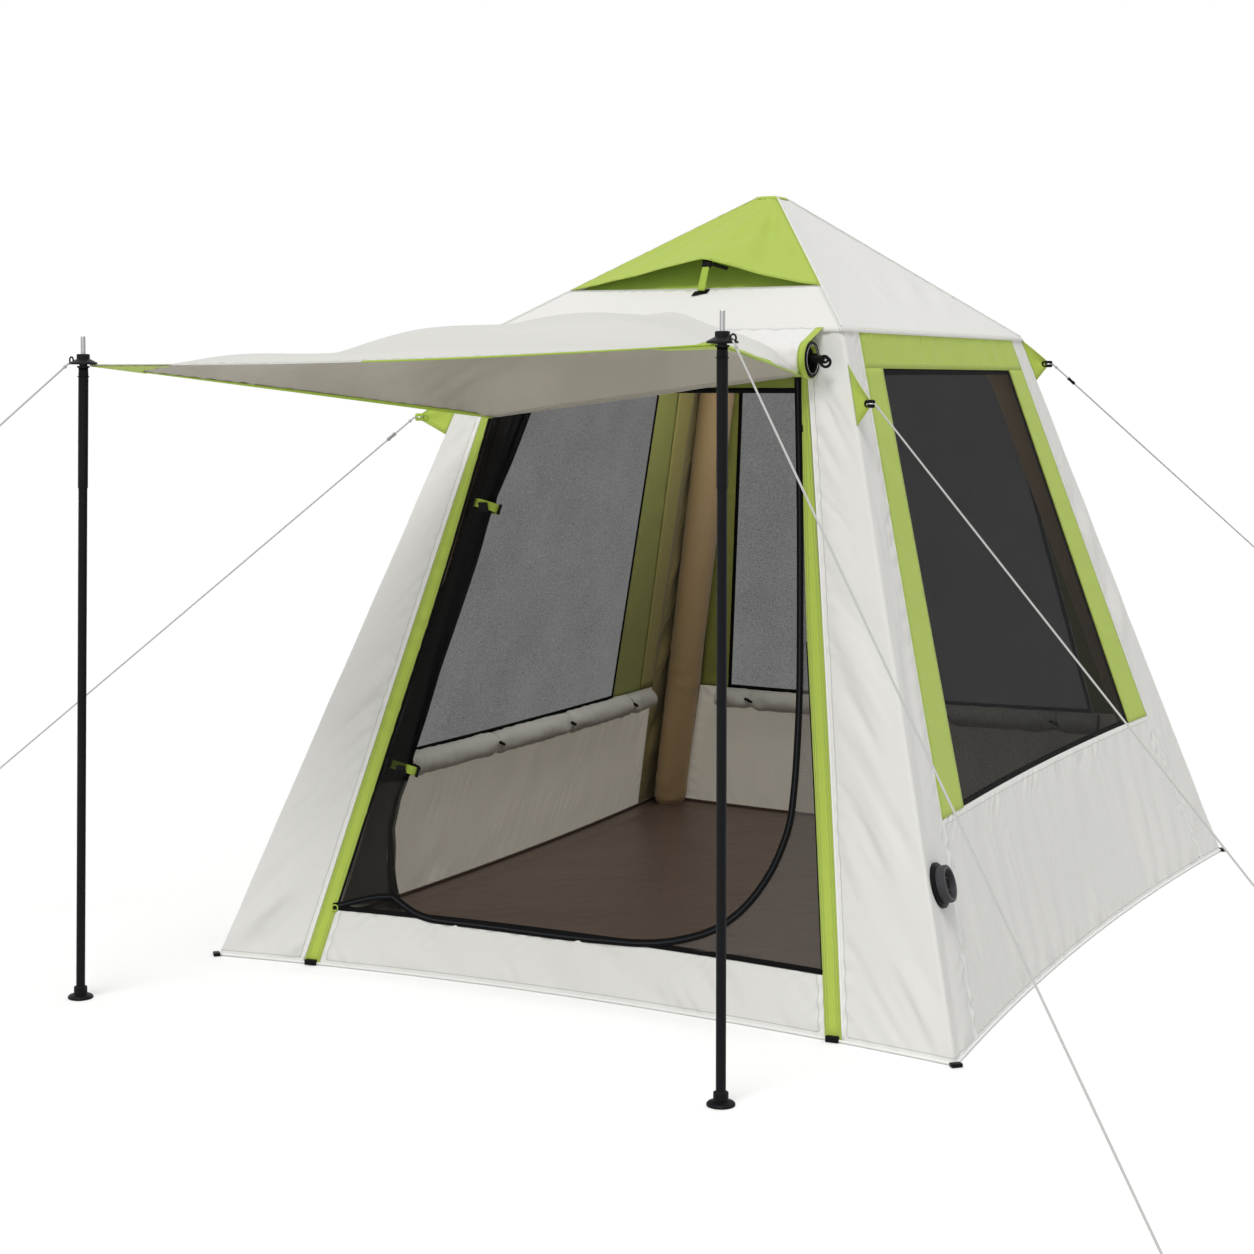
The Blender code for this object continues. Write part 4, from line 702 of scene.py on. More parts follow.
def sleeve_patch(corner, z, round_by=0.012):
    """The cloth of one corner: a run on each wall, the fold between them a quadratic of radius round_by."""
    side_a, edge_a, sign_a, side_b, edge_b, sign_b = {
        "front_right": ("front", right_outer, 1, "right", side_frame, -1),
        "front_left": ("front", left_outer, -1, "left", side_frame, 1),
        "back_right": ("back", back_frame, -1, "right", side_frame, 1),
        "back_left": ("back", back_frame, 1, "left", side_frame, -1),
    }[corner]
    run = row(0.0, 1.0, 44)
    t = np.linspace(0.0, 1.0, 9)[None, 1:-1, None]
    first = wall_at(side_a, sign_a * mix(edge_a(z), half_x(z) - round_by, run), z)
    last = wall_at(side_b, sign_b * mix(half_y(z) - round_by, edge_b(z), run), z)
    apex = wall_at(side_a, sign_a * half_x(z), z)
    bend = first[:, -1:] * (1 - t) ** 2 + 2.0 * apex * t * (1 - t) + last[:, :1] * t ** 2
    grid = np.concatenate([first, bend, last], axis=1)
    return grid[:, ::-1] if sign_a < 0 else grid


def build_sleeves():
    """Folds run down and away from the door strip on the front half and steeply on the side half."""
    for seed, corner in enumerate(CORNERS):
        grid = sleeve_patch(corner, column(HEM_LIFT, WALL_TOP, 250))
        half = grid.shape[1] // 2
        way = 1.0 if corner in ("front_right", "back_left") else -1.0
        first, last = (
            folded(grid, first_seed + seed, soft, scale, heading * way, spread, pucker=0.0014,
                   fade=0.055, rays=0.0018, slant=slant * way)
            for first_seed, soft, scale, heading, spread, slant in (
                (20, 0.01, 0.15, 0.55, 0.13, 0.9), (30, 0.006, 0.17, 0.14, 0.12, 0.5)))
        share = clamped((np.arange(grid.shape[1]) - half + 6) / 12.0)[None, :, None]
        if corner.endswith("left"):
            share = 1.0 - share
        folds = first * (1.0 - share) + last * share
        run = lengths(grid)[0]
        gap = np.abs(run - run[:, half:half + 1])
        steady = 0.2 + 0.8 * clamped(gap / 0.075)[..., None] ** 1.3
        folds = grid + (folds - grid) * steady * (0.7 if corner == "back_right" else 1.0)
        if corner == "front_right":
            hole = np.linalg.norm(grid - wall_at("right", *VALVE), axis=-1)
            calm = clamped((hole - 0.062) / 0.08)[..., None]
            folds = grid * (1.0 - calm) + folds * calm
        sheet("sleeve_" + corner, [(folds, "lrb")], WHITE, TAN_LINING, on=["air_beam_" + corner],
              stands_for=["corner_sleeve_" + corner])


def build_lower_walls():
    for seed, (side, border) in enumerate(WALLS):
        grid = wall_patch(side, minus(border), border, HEM_LIFT, sill_of(side), 0.008)
        grid = folded(grid, 40 + seed, soft=0.0075, scale=0.16, heading=0.45, spread=0.22, pucker=0.0014,
                      fade=0.07, rays=0.003, slant=0.8)
        sheet("wall_lower_" + side, [(grid, "lrbt")], WHITE, WHITE_INSIDE, on=["ground_sheet"],
              stands_for=["lower_wall_" + side])


def build_window_surrounds():
    """Green strips beside each window and a band above it, a little proud of the white cloth."""
    proud = -0.001
    for seed, (side, border) in enumerate(WALLS):
        rear, fore = window_edges(side)
        patches = []
        for k, (low, high) in enumerate(((minus(border), rear), (fore, border))):
            grid = wall_patch(side, low, high, sill_of(side), WINDOW_TOP, 0.012, proud)
            grid = folded(grid, 60 + 4 * seed + k, soft=0.0016, scale=0.14, heading=1.3, fade=0.05)
            patches.append((grid, "lr"))
        grid = wall_patch(side, minus(border), border, WINDOW_TOP, WALL_TOP, 0.01, proud)
        grid = folded(grid, 62 + 4 * seed, soft=0.0016, scale=0.12, heading=0.4, fade=0.04)
        patches.append((grid, "lrtb"))
        sheet("window_surround_" + side, patches, GREEN, GREEN_INSIDE_PAINTED_SHADE, on=["air_beam_back_left"],
              stands_for=["window_frame_" + side])
    # A lighter olive strip inside by the left window: painted shade on the green cloth's inner face.
    lining = wall_patch("left", lambda z: 0.004 - side_frame(z),
                        lambda z: 0.112 + 0.027 * (z - 0.5) - side_frame(z),
                        sill_of("left"), WINDOW_TOP + 0.05, 0.03, 0.004)
    cloth("window_lining_left", lining, LIGHTER_GREEN_INSIDE_PAINTED_SHADE, thickness=TAPE)


def build_nets():
    """Window nets, thin and see-through, with a black tape sewn round each inside."""
    width = 0.014
    for seed, (side, _) in enumerate(WALLS):
        (rear, fore), sill = window_edges(side), sill_of(side)
        grid = wall_patch(side, rear, fore, sill, WINDOW_TOP, 0.018, 0.0016)
        grid = folded(grid, 80 + seed, scale=0.45, heading=0.9, pucker=0.0008)
        sheet("net_" + side, grid, NET, thickness=0.0, on=["window_frame_" + side],
              stands_for=["window_net_" + side])
        runs = ((rear, lambda z: width + rear(z), sill, WINDOW_TOP),
                (lambda z: fore(z) - width, fore, sill, WINDOW_TOP),
                (rear, fore, WINDOW_TOP - width, WINDOW_TOP),
                (rear, fore, sill, sill + width))
        cloth("window_tape_" + side, [(wall_patch(side, *run, 0.03, 0.0042), "") for run in runs],
              BINDING, thickness=TAPE)


# The door zip's (a, z) down the right side, along the sill and round to its end at the left
ZIP_POINTS = [
    (0.437, 1.69), (0.4455, 1.635), (0.4671, 1.499), (0.5037, 1.262), (0.542, 0.98), (0.5619, 0.819),
    (0.5752, 0.655), (0.5786, 0.556), (0.5764, 0.499), (0.5661, 0.451), (0.5442, 0.388), (0.5108, 0.328),
    (0.473, 0.279), (0.428, 0.2386), (0.3919, 0.2153), (0.3388, 0.1924), (0.2625, 0.1703),
    (0.1901, 0.1589), (0.116, 0.154), (-0.0571, 0.149), (-0.3039, 0.1505), (-0.426, 0.151),
    (-0.4683, 0.154), (-0.5121, 0.1644), (-0.5533, 0.1835), (-0.5853, 0.2004),
]
ZIP_END = [(-0.5853, 0.2004), (-0.63, 0.195), (-0.68, 0.183), (-0.73, 0.168), (-0.764, 0.16)]


def strip_grid(sign):
    """A green strip of the door; on the right its inner edge rises 8.5 mm to pass over the slider."""
    outer, inner = (right_outer, right_inner) if sign > 0 else (left_outer, left_inner)
    z = column(HEM_LIFT, WALL_TOP, 200)
    s = row(0.0, 1.0, 9)
    proud = 0.0012 + 0.0 * s * z
    if sign > 0:
        garage = clamped((z - 1.02) / 0.08) * clamped((1.6 - z) / 0.06)
        proud = proud + 0.0085 * garage * s ** 0.3
    a = mix(outer(z), inner(z), s) + 0.53 * (proud - 0.0012)
    grid = wall_at("front", sign * a, z, -proud)
    return folded(grid[:, ::-1] if sign > 0 else grid, 90 + (sign > 0), soft=0.001, scale=0.1,
                  heading=0.8, pucker=0.0012, fade=0.03, pinned="lr", rays=0.0008)


def build_front():
    sheet("door_strips", [(strip_grid(-1), "lr"), (strip_grid(1), "lr")], GREEN, GREEN_INSIDE_PAINTED_SHADE,
          on=["air_beam_front_right"], stands_for=["door_frame"])
    inside = minus(left_inner), right_inner
    head = wall_patch("front", *inside, DOOR_TOP, WALL_TOP)
    # The band over the door takes the darker green, which is painted shade under the awning.
    sheet("door_header", [(folded(head, 94, soft=0.0024, scale=0.15, heading=0.7), "lrb")],
          GREEN_PAINTED_SHADE, GREEN_INSIDE_PAINTED_SHADE, on=["header_tube"])
    tape = wall_patch("front", *inside, DOOR_TOP - 0.003, DOOR_TOP + 0.011, 0.007, -0.0018)
    cloth("door_header_tape", tape, BINDING, thickness=TAPE)
    sill = wall_patch("front", *inside, HEM_LIFT, SILL_TOP, 0.0065)
    sill = folded(sill, 96, soft=0.0075, scale=0.15, heading=0.75, spread=0.25, pucker=0.0015,
                  fade=0.04, rays=0.003, slant=0.9)
    sheet("door_sill_cloth", [(sill, "lrb")], WHITE, WHITE_INSIDE, on=["ground_sheet"],
          stands_for=["door_sill"])
    for name, sign, outer in STRIPS:
        z = np.linspace(0.012, 1.765, 80)
        tube("strip_piping_" + name, wall_at("front", sign * (outer(z) + 0.004), z, -0.001),
             STRIP_PIPING, PIPING, 8)


def zip_band(name, points, width, proud, stands_for=()):
    """A zip on its tape: black edges and a dark grey coil between, across the (a, z) line's normal."""
    line = through(points)
    along = unit(np.gradient(line, axis=0))
    normal = np.stack([along[:, 1], -along[:, 0]], axis=-1)
    for part, half, lift, crown, finish, solids in (("tape", 1.0, 0.0, 0.0, BINDING, stands_for),
                                                    ("coil", 0.22, 0.0011, 0.001, COIL, ())):
        rows = []
        for reach in np.linspace(half, -half, 7):
            spot = line + normal * reach * width / 2.0
            rise = crown * math.cos(0.5 * math.pi * reach / half)
            rows.append(wall_at("front", spot[:, 0], spot[:, 1], -proud - lift - rise))
        cloth(f"{name}_{part}", np.array(rows), finish, thickness=THIN, stands_for=solids)


def build_fixed_net():
    """The net outside the zip, a straight blend at each height from the zip to the strip's edge."""
    line = through(ZIP_POINTS)[::-1]
    line = line[line[:, 0] > 0.116]
    low = SILL_TOP + 0.002
    z = low + (DOOR_TOP - low) * np.linspace(0.0, 1.0, 150) ** 1.7
    near = np.interp(z, line[:, 1], line[:, 0])
    free = np.interp(z, [0.15, 0.165, 0.2, 0.3, 0.6, 1.6], [0.43, 0.53, 0.585, 0.625, 0.599, 0.469])
    right, left = (
        wall_at("front", mix(first[:, None], last[:, None], row(0.0, 1.0, 33)), z[:, None], 0.0006)
        for first, last in ((near, right_inner(z) + 0.004), (-left_inner(z) - 0.004, -free)))
    right = folded(right, 98, scale=0.16, heading=-0.6, spread=0.3, pucker=0.0006, fade=0.05)
    sheet("fixed_net", right, FIXED_NET, thickness=0.0, on=["door_frame"],
          stands_for=["door_fixed_net"])
    sheet("fixed_net_left", left, FIXED_NET_LEFT, thickness=0.0, on=["door_frame"])
    zip_band("door_zip_line", ZIP_POINTS, 0.0195, 0.0024, ["door_zip"])
    zip_band("door_zip_end", ZIP_END, 0.017, 0.003)
    torus("door_zip_ring", wall_at("front", -0.756, 0.156, -0.005), (0.2, -1.0, 0.2), 0.0085, 0.002,
          WEBBING)
    right_z, left_z = np.linspace(SILL_TOP, 0.95, 40), np.linspace(SILL_TOP, DOOR_TOP, 60)
    a = np.linspace(-left_inner(SILL_TOP), right_inner(SILL_TOP), 120)
    for name, rows in (
            ("right", [(right_inner(right_z) - r, right_z, -0.0004) for r in (-0.002, 0.001, 0.004)]),
            ("left", [(r - left_inner(left_z), left_z, -0.0004) for r in (-0.002, 0.002, 0.005)]),
            ("low", [(a, SILL_TOP + r, -0.0012) for r in (-0.001, 0.006, 0.0125)])):
        grid = np.array([wall_at("front", *place) for place in rows])
        cloth("door_edge_" + name, grid, BINDING, thickness=TAPE)


# Gathered door

# The gathered net's right border, (height, a across the front wall)
GATHER_BORDER = (
    (0.15, -0.552), (0.187, -0.565), (0.235, -0.588), (0.262, -0.6), (0.315, -0.612), (0.368, -0.63),
    (0.447, -0.626), (0.515, -0.607), (0.535, -0.601), (0.56, -0.606), (0.8, -0.572), (1.1, -0.508),
    (1.245, -0.48), (1.27, -0.467), (1.295, -0.467), (1.4, -0.432), (1.6, -0.372),
)


def gather_half(z):
    """Half width and half depth of the gathered net: drawn in at the straps, fuller at its foot."""
    near = np.maximum(*(bell(z - height, 0.1) for height in STRAP_HEIGHTS.values()))
    top = np.maximum(0.0, (z - ABOVE_STRAPS) / (NET_TOP - STRAP_HEIGHTS["upper"]))
    foot = np.maximum(0.0, (BELOW_STRAPS - z) / (STRAP_HEIGHTS["lower"] - NET_FOOT))
    return (0.042 + 0.018 * top + 0.058 * foot - 0.006 * near,
            0.036 - 0.013 * top - 0.006 * foot - 0.006 * near)


def gather_centre(z):
    """Middle of the gathered net along the wall, leaning from strap to strap, and its depth inside."""
    inside = 0.0087 + gather_half(z)[1] * 1.07

    def leaning(height):
        return mix(-0.632, -0.497, (height - STRAP_HEIGHTS["lower"]) / 0.735)
    upper = mix(leaning(ABOVE_STRAPS), -0.436, (z - ABOVE_STRAPS) / (NET_TOP - ABOVE_STRAPS))
    lower = mix(-0.628, leaning(BELOW_STRAPS), (z - NET_FOOT) / (BELOW_STRAPS - NET_FOOT))
    return np.where(z > ABOVE_STRAPS, upper, np.where(z > BELOW_STRAPS, leaning(z), lower)), inside


def gather_grid(z, lobes, valley, turn):
    """Pleats round a flattened loop: the left border behind the strip, the right one drawn in by straps."""
    right = np.interp(z, *zip(*GATHER_BORDER))
    left = -left_inner(z) - 0.022
    wide, centre = (right - left) / 2.0, (right + left) / 2.0
    deep, inside = gather_half(z)[1], gather_centre(z)[1]
    s = row(0.0, 1.0, 193)
    angle = np.radians(mix(-172.0, 172.0, s)) + 0.1 * np.sin(2.3 * z)
    sway = 0.25 * np.sin(5.0 * z + 9.0 * s) + 0.18 * np.sin(11.0 * z - 17.0 * s)
    pleat = 0.5 + 0.5 * np.sin(2.0 * np.pi * lobes * s + 2.2 * sway + turn)
    uneven = 0.9 + 0.1 * np.sin(2.0 * np.pi * 3.0 * s + 3.0 * z)
    reach = mix(valley, 1.0, pleat) * uneven
    return wall_at("front", centre + wide * reach * np.cos(angle), z,
                   inside + deep * reach * np.sin(angle))[:, ::-1]


def build_gathered_door():
    """The unzipped door net, drawn to the left in pleats, and its looser foot below the lower strap."""
    pleats = gather_grid(column(0.5, 1.585, 110), 11.0, 0.62, 0.0)
    sheet("door_net_pleats", pleats, DOOR_NET, held="gathered",
          on=["door_strap_upper", "door_strap_lower"], thickness=0.0, stands_for=["door_net_gathered"])
    foot = gather_grid(column(0.158, 0.504, 50), 5.0, 0.55, 1.4)
    sheet("door_net_foot", foot, FLARE_NET, held="gathered", on=["door_strap_lower"],
          thickness=0.0)
    for name, height in STRAP_HEIGHTS.items():
        a, deep_in = (float(x) for x in gather_centre(np.array(height)))
        wide, deep = (float(x) for x in gather_half(np.array(height)))
        centre = wall_at("front", a + 0.35 * wide, height, deep_in - deep * 1.07 - 0.003)
        block(f"strap_buckle_{name}", Vector(centre) + Vector((0.0, -0.0025, 0.0)), (0.03, 0.005, 0.028),
              ((1.0, 0.0, 0.0), (0.0, 1.0, 0.3), (0.0, -0.3, 1.0)), BLACK)


# Rolled curtains

def build_rolls():
    """Each curtain is rolled up as a spiral, r from 9 to 39 mm in 5.5 turns, drawn in at its ties."""
    for seed, (side, half, height) in enumerate((("right", 0.9, 0.462), ("left", 0.9, 0.462),
                                                 ("back", 0.72, 0.448))):
        a = np.linspace(-half, half, 150)
        base = wall_at(side, a, height)
        along = unit(np.gradient(base, axis=0))
        up = unit(np.array(UP) - along * along[:, 2:3])
        inward = np.cross(up, along)
        centre = base + inward * (0.041 * math.cos(math.pi / 16) + 0.002)
        ties = [mix(-half, half, k / 30) for k in (3, 11, 19, 27)]
        gap = np.min(np.abs(a[:, None] - np.array(ties)[None]), axis=1)
        cinch = 1.0 - 0.24 * bell(gap, 0.022)
        turn = row(0.0, 2.0 * np.pi * 5.5, 133)
        outer = turn / turn.max()
        crease = waves(a[:, None] + 0.0 * turn, 0.036 * turn, 100 + seed, 0.06, 0.9, 0.5)
        bunch = bell(gap, 0.09)[:, None]
        reach = mix(0.009, 0.0385, outer) * cinch[:, None] + (0.0014 + 0.0022 * bunch) * crease * outer ** 2
        grid = (centre[:, None] + reach[..., None] * (np.cos(turn)[..., None] * up[:, None]
                                                      + np.sin(turn)[..., None] * inward[:, None]))
        sheet("rolled_curtain_" + side, grid, ROLLED, held="folded", on=["lower_wall_" + side],
              thickness=0.0, stands_for=["curtain_roll_" + side])
        for k, tie in enumerate(ties):
            i = int(np.argmin(np.abs(a - tie)))
            for end, way in (("a", -1.0), ("b", 1.0)):
                torus(f"curtain_tie_{side}_{k}{end}", centre[i] + along[i] * way * 0.006,
                      along[i] + 0.35 * way * up[i], 0.0315, 0.0026, ROLLED)
            block(f"curtain_toggle_{side}_{k}", centre[i] + inward[i] * 0.034, (0.034, 0.009, 0.009),
                  (along[i] + 0.4 * up[i], up[i] - 0.4 * along[i], inward[i]), BLACK, bevel=0.003)


# Roof

def build_canopy():
    """The white roof as one welded sheet: a slope sags by s (1 - a^2) sin(pi share)^0.8, least in front."""
    low = np.linspace(0.0, VENT_SHARE, 16)
    shares = np.concatenate([low, np.linspace(VENT_SHARE, 1.0, 38)[1:]])
    a = row(-1.0, 1.0, 91)
    skirt_z = EAVE_HEIGHT - 0.014
    x, y = half_x(skirt_z) + 0.0046, half_y(skirt_z) + 0.0046
    patches = []
    for seed, side in enumerate(SIDES):
        front = side == "front"
        rows = (low if front else shares)[:, None]
        sag = -0.016 * (1.0 - a ** 2) * np.sin(np.pi * clamped(rows)) ** 0.8
        sag = sag * (0.2 if front else 1.0)
        slope = roof_at(side, a, rows)
        grid = folded(slope + normals_of(slope) * sag[..., None], 120 + seed, scale=0.26,
                      heading=0.35, spread=0.4, pucker=0.0009, fade=0.12)
        grid[0], grid[:, 0], grid[:, -1] = slope[0], slope[:, 0], slope[:, -1]
        across, out = (x, y) if runs_along_x(side) else (y, x)
        skirt = stacked(*on_side(side, a * across, out), skirt_z)
        patches.append((np.concatenate([skirt, grid]), "lrt" if front else "lr"))
    sheet("canopy", patches, CANOPY, WHITE_INSIDE, on=["air_beam_front_right", "air_beam_back_left"],
          stands_for=["roof_canopy"], weld=True)
    for corner, (sx, sy) in CORNERS.items():
        share = np.linspace(0.0, 1.0, 40)
        line = stacked(sx * mix(EAVE_HALF_X, APEX_FLAT, share), sy * mix(EAVE_HALF_Y, APEX_FLAT, share),
                       mix(EAVE_HEIGHT, APEX_HEIGHT, share) + 0.0006)
        tube("ridge_piping_" + corner, line, RIDGE_PIPING, PIPING, 8)


def hood_at(across, rise):
    """The vent hood: the front slope, its lower edge lifted to a point over the prop, (1 - away)^1.35."""
    share = mix(VENT_SHARE - 0.004, 0.985, rise)
    width = mix(EAVE_HALF_X, APEX_FLAT, share)
    right = across > PROP_ACROSS
    away = (across - PROP_ACROSS) / np.where(right, 1.0 - PROP_ACROSS, -1.0 - PROP_ACROSS)
    away = clamped(np.sqrt(away ** 2 + 0.0016))
    arch = 0.087 * (1.0 - away) ** np.where(right, 1.35, 1.15) * (1.0 - rise) ** 1.3
    return roof_at("front", across * (1.0 + 0.001 / width), share, arch + 0.0016)


def build_vent():
    across, rise = row(-1.0, 1.0, 101), column(0.0, 1.0, 46)
    grid = hood_at(across, rise)
    radial = waves(across + 0.0 * rise, rise * 0.4 + 0.0 * across, 140, 0.42, 0.0, 0.25)
    lift = 0.004 * radial * (1.0 - np.abs(across) ** 3) * np.sin(np.pi * clamped(rise * 0.9 + 0.06))
    grid = folded(grid + normals_of(grid) * lift[..., None], 141, soft=0.0022, heading=0.2)
    sheet("hood", [(grid, "blr")], GREEN, HOOD_INSIDE, on=["roof_canopy"], stands_for=["vent_hood"])
    share = np.array([0.272, 0.3, 0.35, 0.45, 0.6, 0.75, 0.9])[:, None]
    drop = np.where(share < 0.3, 0.0026, 0.012)
    lining = row(-1.0, 1.0, 61) * (1.0 - 0.012 / mix(EAVE_HALF_X, APEX_FLAT, share))
    lining = folded(roof_at("front", lining, share, -drop), 143)
    sheet("vent_lining_cloth", lining, HOOD_INSIDE, on=["roof_canopy"], stands_for=["vent_lining"])
    x, y = row(-1.0, 1.0, 21), column(-1.0, 1.0, 21)
    cap = stacked(0.042 * x, 0.05 * y, APEX_HEIGHT + 0.0028 - 0.01 * (x ** 6 + y ** 6))
    cloth("apex_cap", cap, GREEN)
    build_prop_trim()


def build_prop_trim():
    """The prop's green webbing, the patch it stands on and a small tab beside its head."""
    foot, head = Vector((0.045, -0.59035, 1.88653)), Vector((0.045, -0.54503, 1.97954))
    along = (head - foot).normalized()
    out = Vector((0.0, -along.z, along.y))
    rows = []
    for k in np.linspace(0.0, 0.74, 10):
        centre = foot.lerp(head, float(k)) + out * (0.0066 + 0.0015 * math.sin(3.0 * k))
        width = 0.012 - 0.0015 * k
        rows.append([centre + Vector((x * width, 0.0, 0.0)) for x in (-1.0, -0.5, 0.0, 0.5, 1.0)])
    cloth("prop_webbing", np.array(rows), WEBBING, thickness=0.0014, body="vent_prop")
    slope = Vector((0.0, 0.755, 0.423)).normalized()
    normal = Vector((0.0, -0.423, 0.755)).normalized()
    centre = Vector(roof_at("front", np.array(0.04 / 0.416), np.array(0.252))) + normal * 0.001
    block("prop_patch", centre, (0.046, 0.024, 0.003),
          (Vector((1.0, 0.0, 0.0)) + slope * 0.35, slope, normal), BLACK)
    centre = Vector(hood_at(np.array(0.215), np.array(0.0))) + Vector((0.0, 0.004, -0.011))
    block("vent_tab", centre, (0.052, 0.018, 0.003), ((1.0, 0.0, -0.3), slope, normal), BLACK)
    block("prop_head", head - along * 0.014 + out * 0.005, (0.028, 0.008, 0.026),
          ((1.0, 0.0, 0.0), out, along), BLACK, body="vent_prop")


# Header and awning

def around_header(x, radius, angle):
    """Points about the header tube's axis."""
    return stacked(x, TUBE_Y + radius * np.cos(angle), TUBE_HEIGHT + radius * np.sin(angle))


def build_header():
    """Cloth from the eave over the front of the header tube to the awning's seat under it."""
    radius = TUBE_RADIUS + 0.0022
    eave_y, eave_z = -0.7755, 1.774
    reach = math.hypot(eave_y - TUBE_Y, eave_z - TUBE_HEIGHT)
    lean = math.atan2(eave_z - TUBE_HEIGHT, eave_y - TUBE_Y)
    touch = lean + math.acos(radius / reach)
    arc = np.linspace(touch, math.radians(243.0), 30)
    y = np.concatenate([np.linspace(eave_y, TUBE_Y + radius * math.cos(touch), 10)[:-1],
                        TUBE_Y + radius * np.cos(arc)])
    z = np.concatenate([np.linspace(eave_z, TUBE_HEIGHT + radius * math.sin(touch), 10)[:-1],
                        TUBE_HEIGHT + radius * np.sin(arc)])
    grid = folded(stacked(column(0.2, 0.4815, 60), y, z), 160, soft=0.0038, scale=0.1, heading=0.9,
                  spread=0.3, pucker=0.0014, fade=0.03)
    sheet("header_cloth", [(grid, "l")], HEADER_CLOTH, held="hung", on=["header_tube"])
    grid = stacked(column(0.48, 0.5015, 5), y[:16] - 0.0012, z[:16] + 0.0012)
    cloth("header_tail", grid, GREEN, thickness=TAPE)
    torus("header_plug_loop", (0.541, TUBE_Y, TUBE_HEIGHT - 0.008), (0.25, -1.0, 0.0), 0.0125, 0.004,
          BLACK, body="header_plug")
    x = column(0.4795, 0.501, 6)
    radius = 0.0502 + 0.0006 * np.sin(np.pi * (x - 0.4795) / 0.0215)
    grid = around_header(x, radius, row(0.0, 2.0 * np.pi, 57))
    cloth("header_band", [(grid[:, ::-1], "bt")], GREEN, thickness=TAPE)
    angle = row(math.radians(25.0), math.radians(165.0), 30)
    grid = around_header(column(0.488, 0.5005, 4), 0.0386, angle)
    cloth("header_band_inside", grid, GREEN, thickness=0.0006)


def edge_binding(name, line, inward, normal, width):
    """A tape folded over an edge: over the top face, round the edge and back under it."""
    steps = [(width, 0.0009), (width * 0.5, 0.0012), (0.0, 0.001), (-0.0014, -0.001),
             (0.0, -0.0026), (width * 0.5, -0.0028), (width, -0.0025)]
    grid = np.array([line + inward * reach + normal * lift for reach, lift in steps])
    return cloth("awning_binding_" + name, grid, WEBBING, thickness=0.0006)


def build_awning():
    """The awning's streaks run from the poles to the header, calmer near its edges."""
    rows, columns, bunching = 110, 170, 0.92
    u, v = row(0.0, 1.0, columns + 1), column(0.0, 1.0, rows + 1) ** bunching
    base = awning_at(u, v)
    length_u, length_v = lengths(base)
    calm = clamped(np.minimum(np.minimum(u, 1.0 - u) / 0.06, np.minimum(v, 0.935 - v) / 0.05))
    streak = waves(length_u, length_v, 180, 0.1, math.pi / 2.0, 0.1)
    long_folds = waves(length_u, length_v, 181, 0.3, math.pi / 2.0 - 0.35, 0.25)
    rear = clamped((v - 0.74) / 0.12)
    height = calm * (0.0018 * streak * (0.4 + 1.6 * rear) + 0.01 * long_folds)
    normal = normals_of(base)
    grid = folded(base + normal * height[..., None], 182, soft=0.0, pucker=0.0011, pinned="lrb")
    front = slice(None, 79, -1)
    trim = [
        edge_binding("left", grid[:, 0], unit(base[:, 3] - base[:, 0]), normal[:, 0], 0.01),
        edge_binding("right", grid[::-1, -1], unit(base[:, -4] - base[:, -1])[::-1], normal[::-1, -1],
                     0.02),
        edge_binding("front", grid[0][front], unit(base[3] - base[0])[front], normal[0][front], 0.006)]
    s, t = row(0.0, 1.0, 25), column(0.0, 1.0, 15)
    face_normal = normals_of(grid)
    for side, reach, across, far in (
            ("left", 0.13, 0.145 * s, (1.0 - s) ** 0.7),
            ("right", 0.46, 1.0 - 0.09 * (1.0 - s), clamped(s / 0.38))):
        back = reach * t * far * (1.0 - 0.16 * np.abs(np.sin(3.0 * np.pi * s)))
        place = back ** (1.0 / bunching) * rows, across * columns
        for face, lift in (("top", 0.0013), ("under", -0.0036)):
            patch = sampled(grid, *place) + sampled(face_normal, *place) * lift
            trim.append(cloth(f"awning_patch_{side}_{face}", patch, GREEN, thickness=THIN))
    sheet("awning_sheet", [(grid, "lrbt")], AWNING_TOP, AWNING_UNDER_PAINTED_SHADE, held="hung",
          on=["pole_hub_left", "pole_hub_right", "header_tube"], with_pieces=trim, thickness=0.0016,
          stands_for=["awning"])


# Air frame and ground sheet

def corner_axis(sx, sy, z, offset):
    diagonal = offset / math.sqrt(2.0)
    return Vector((sx * (half_x(z) - diagonal), sy * (half_y(z) - diagonal), z))


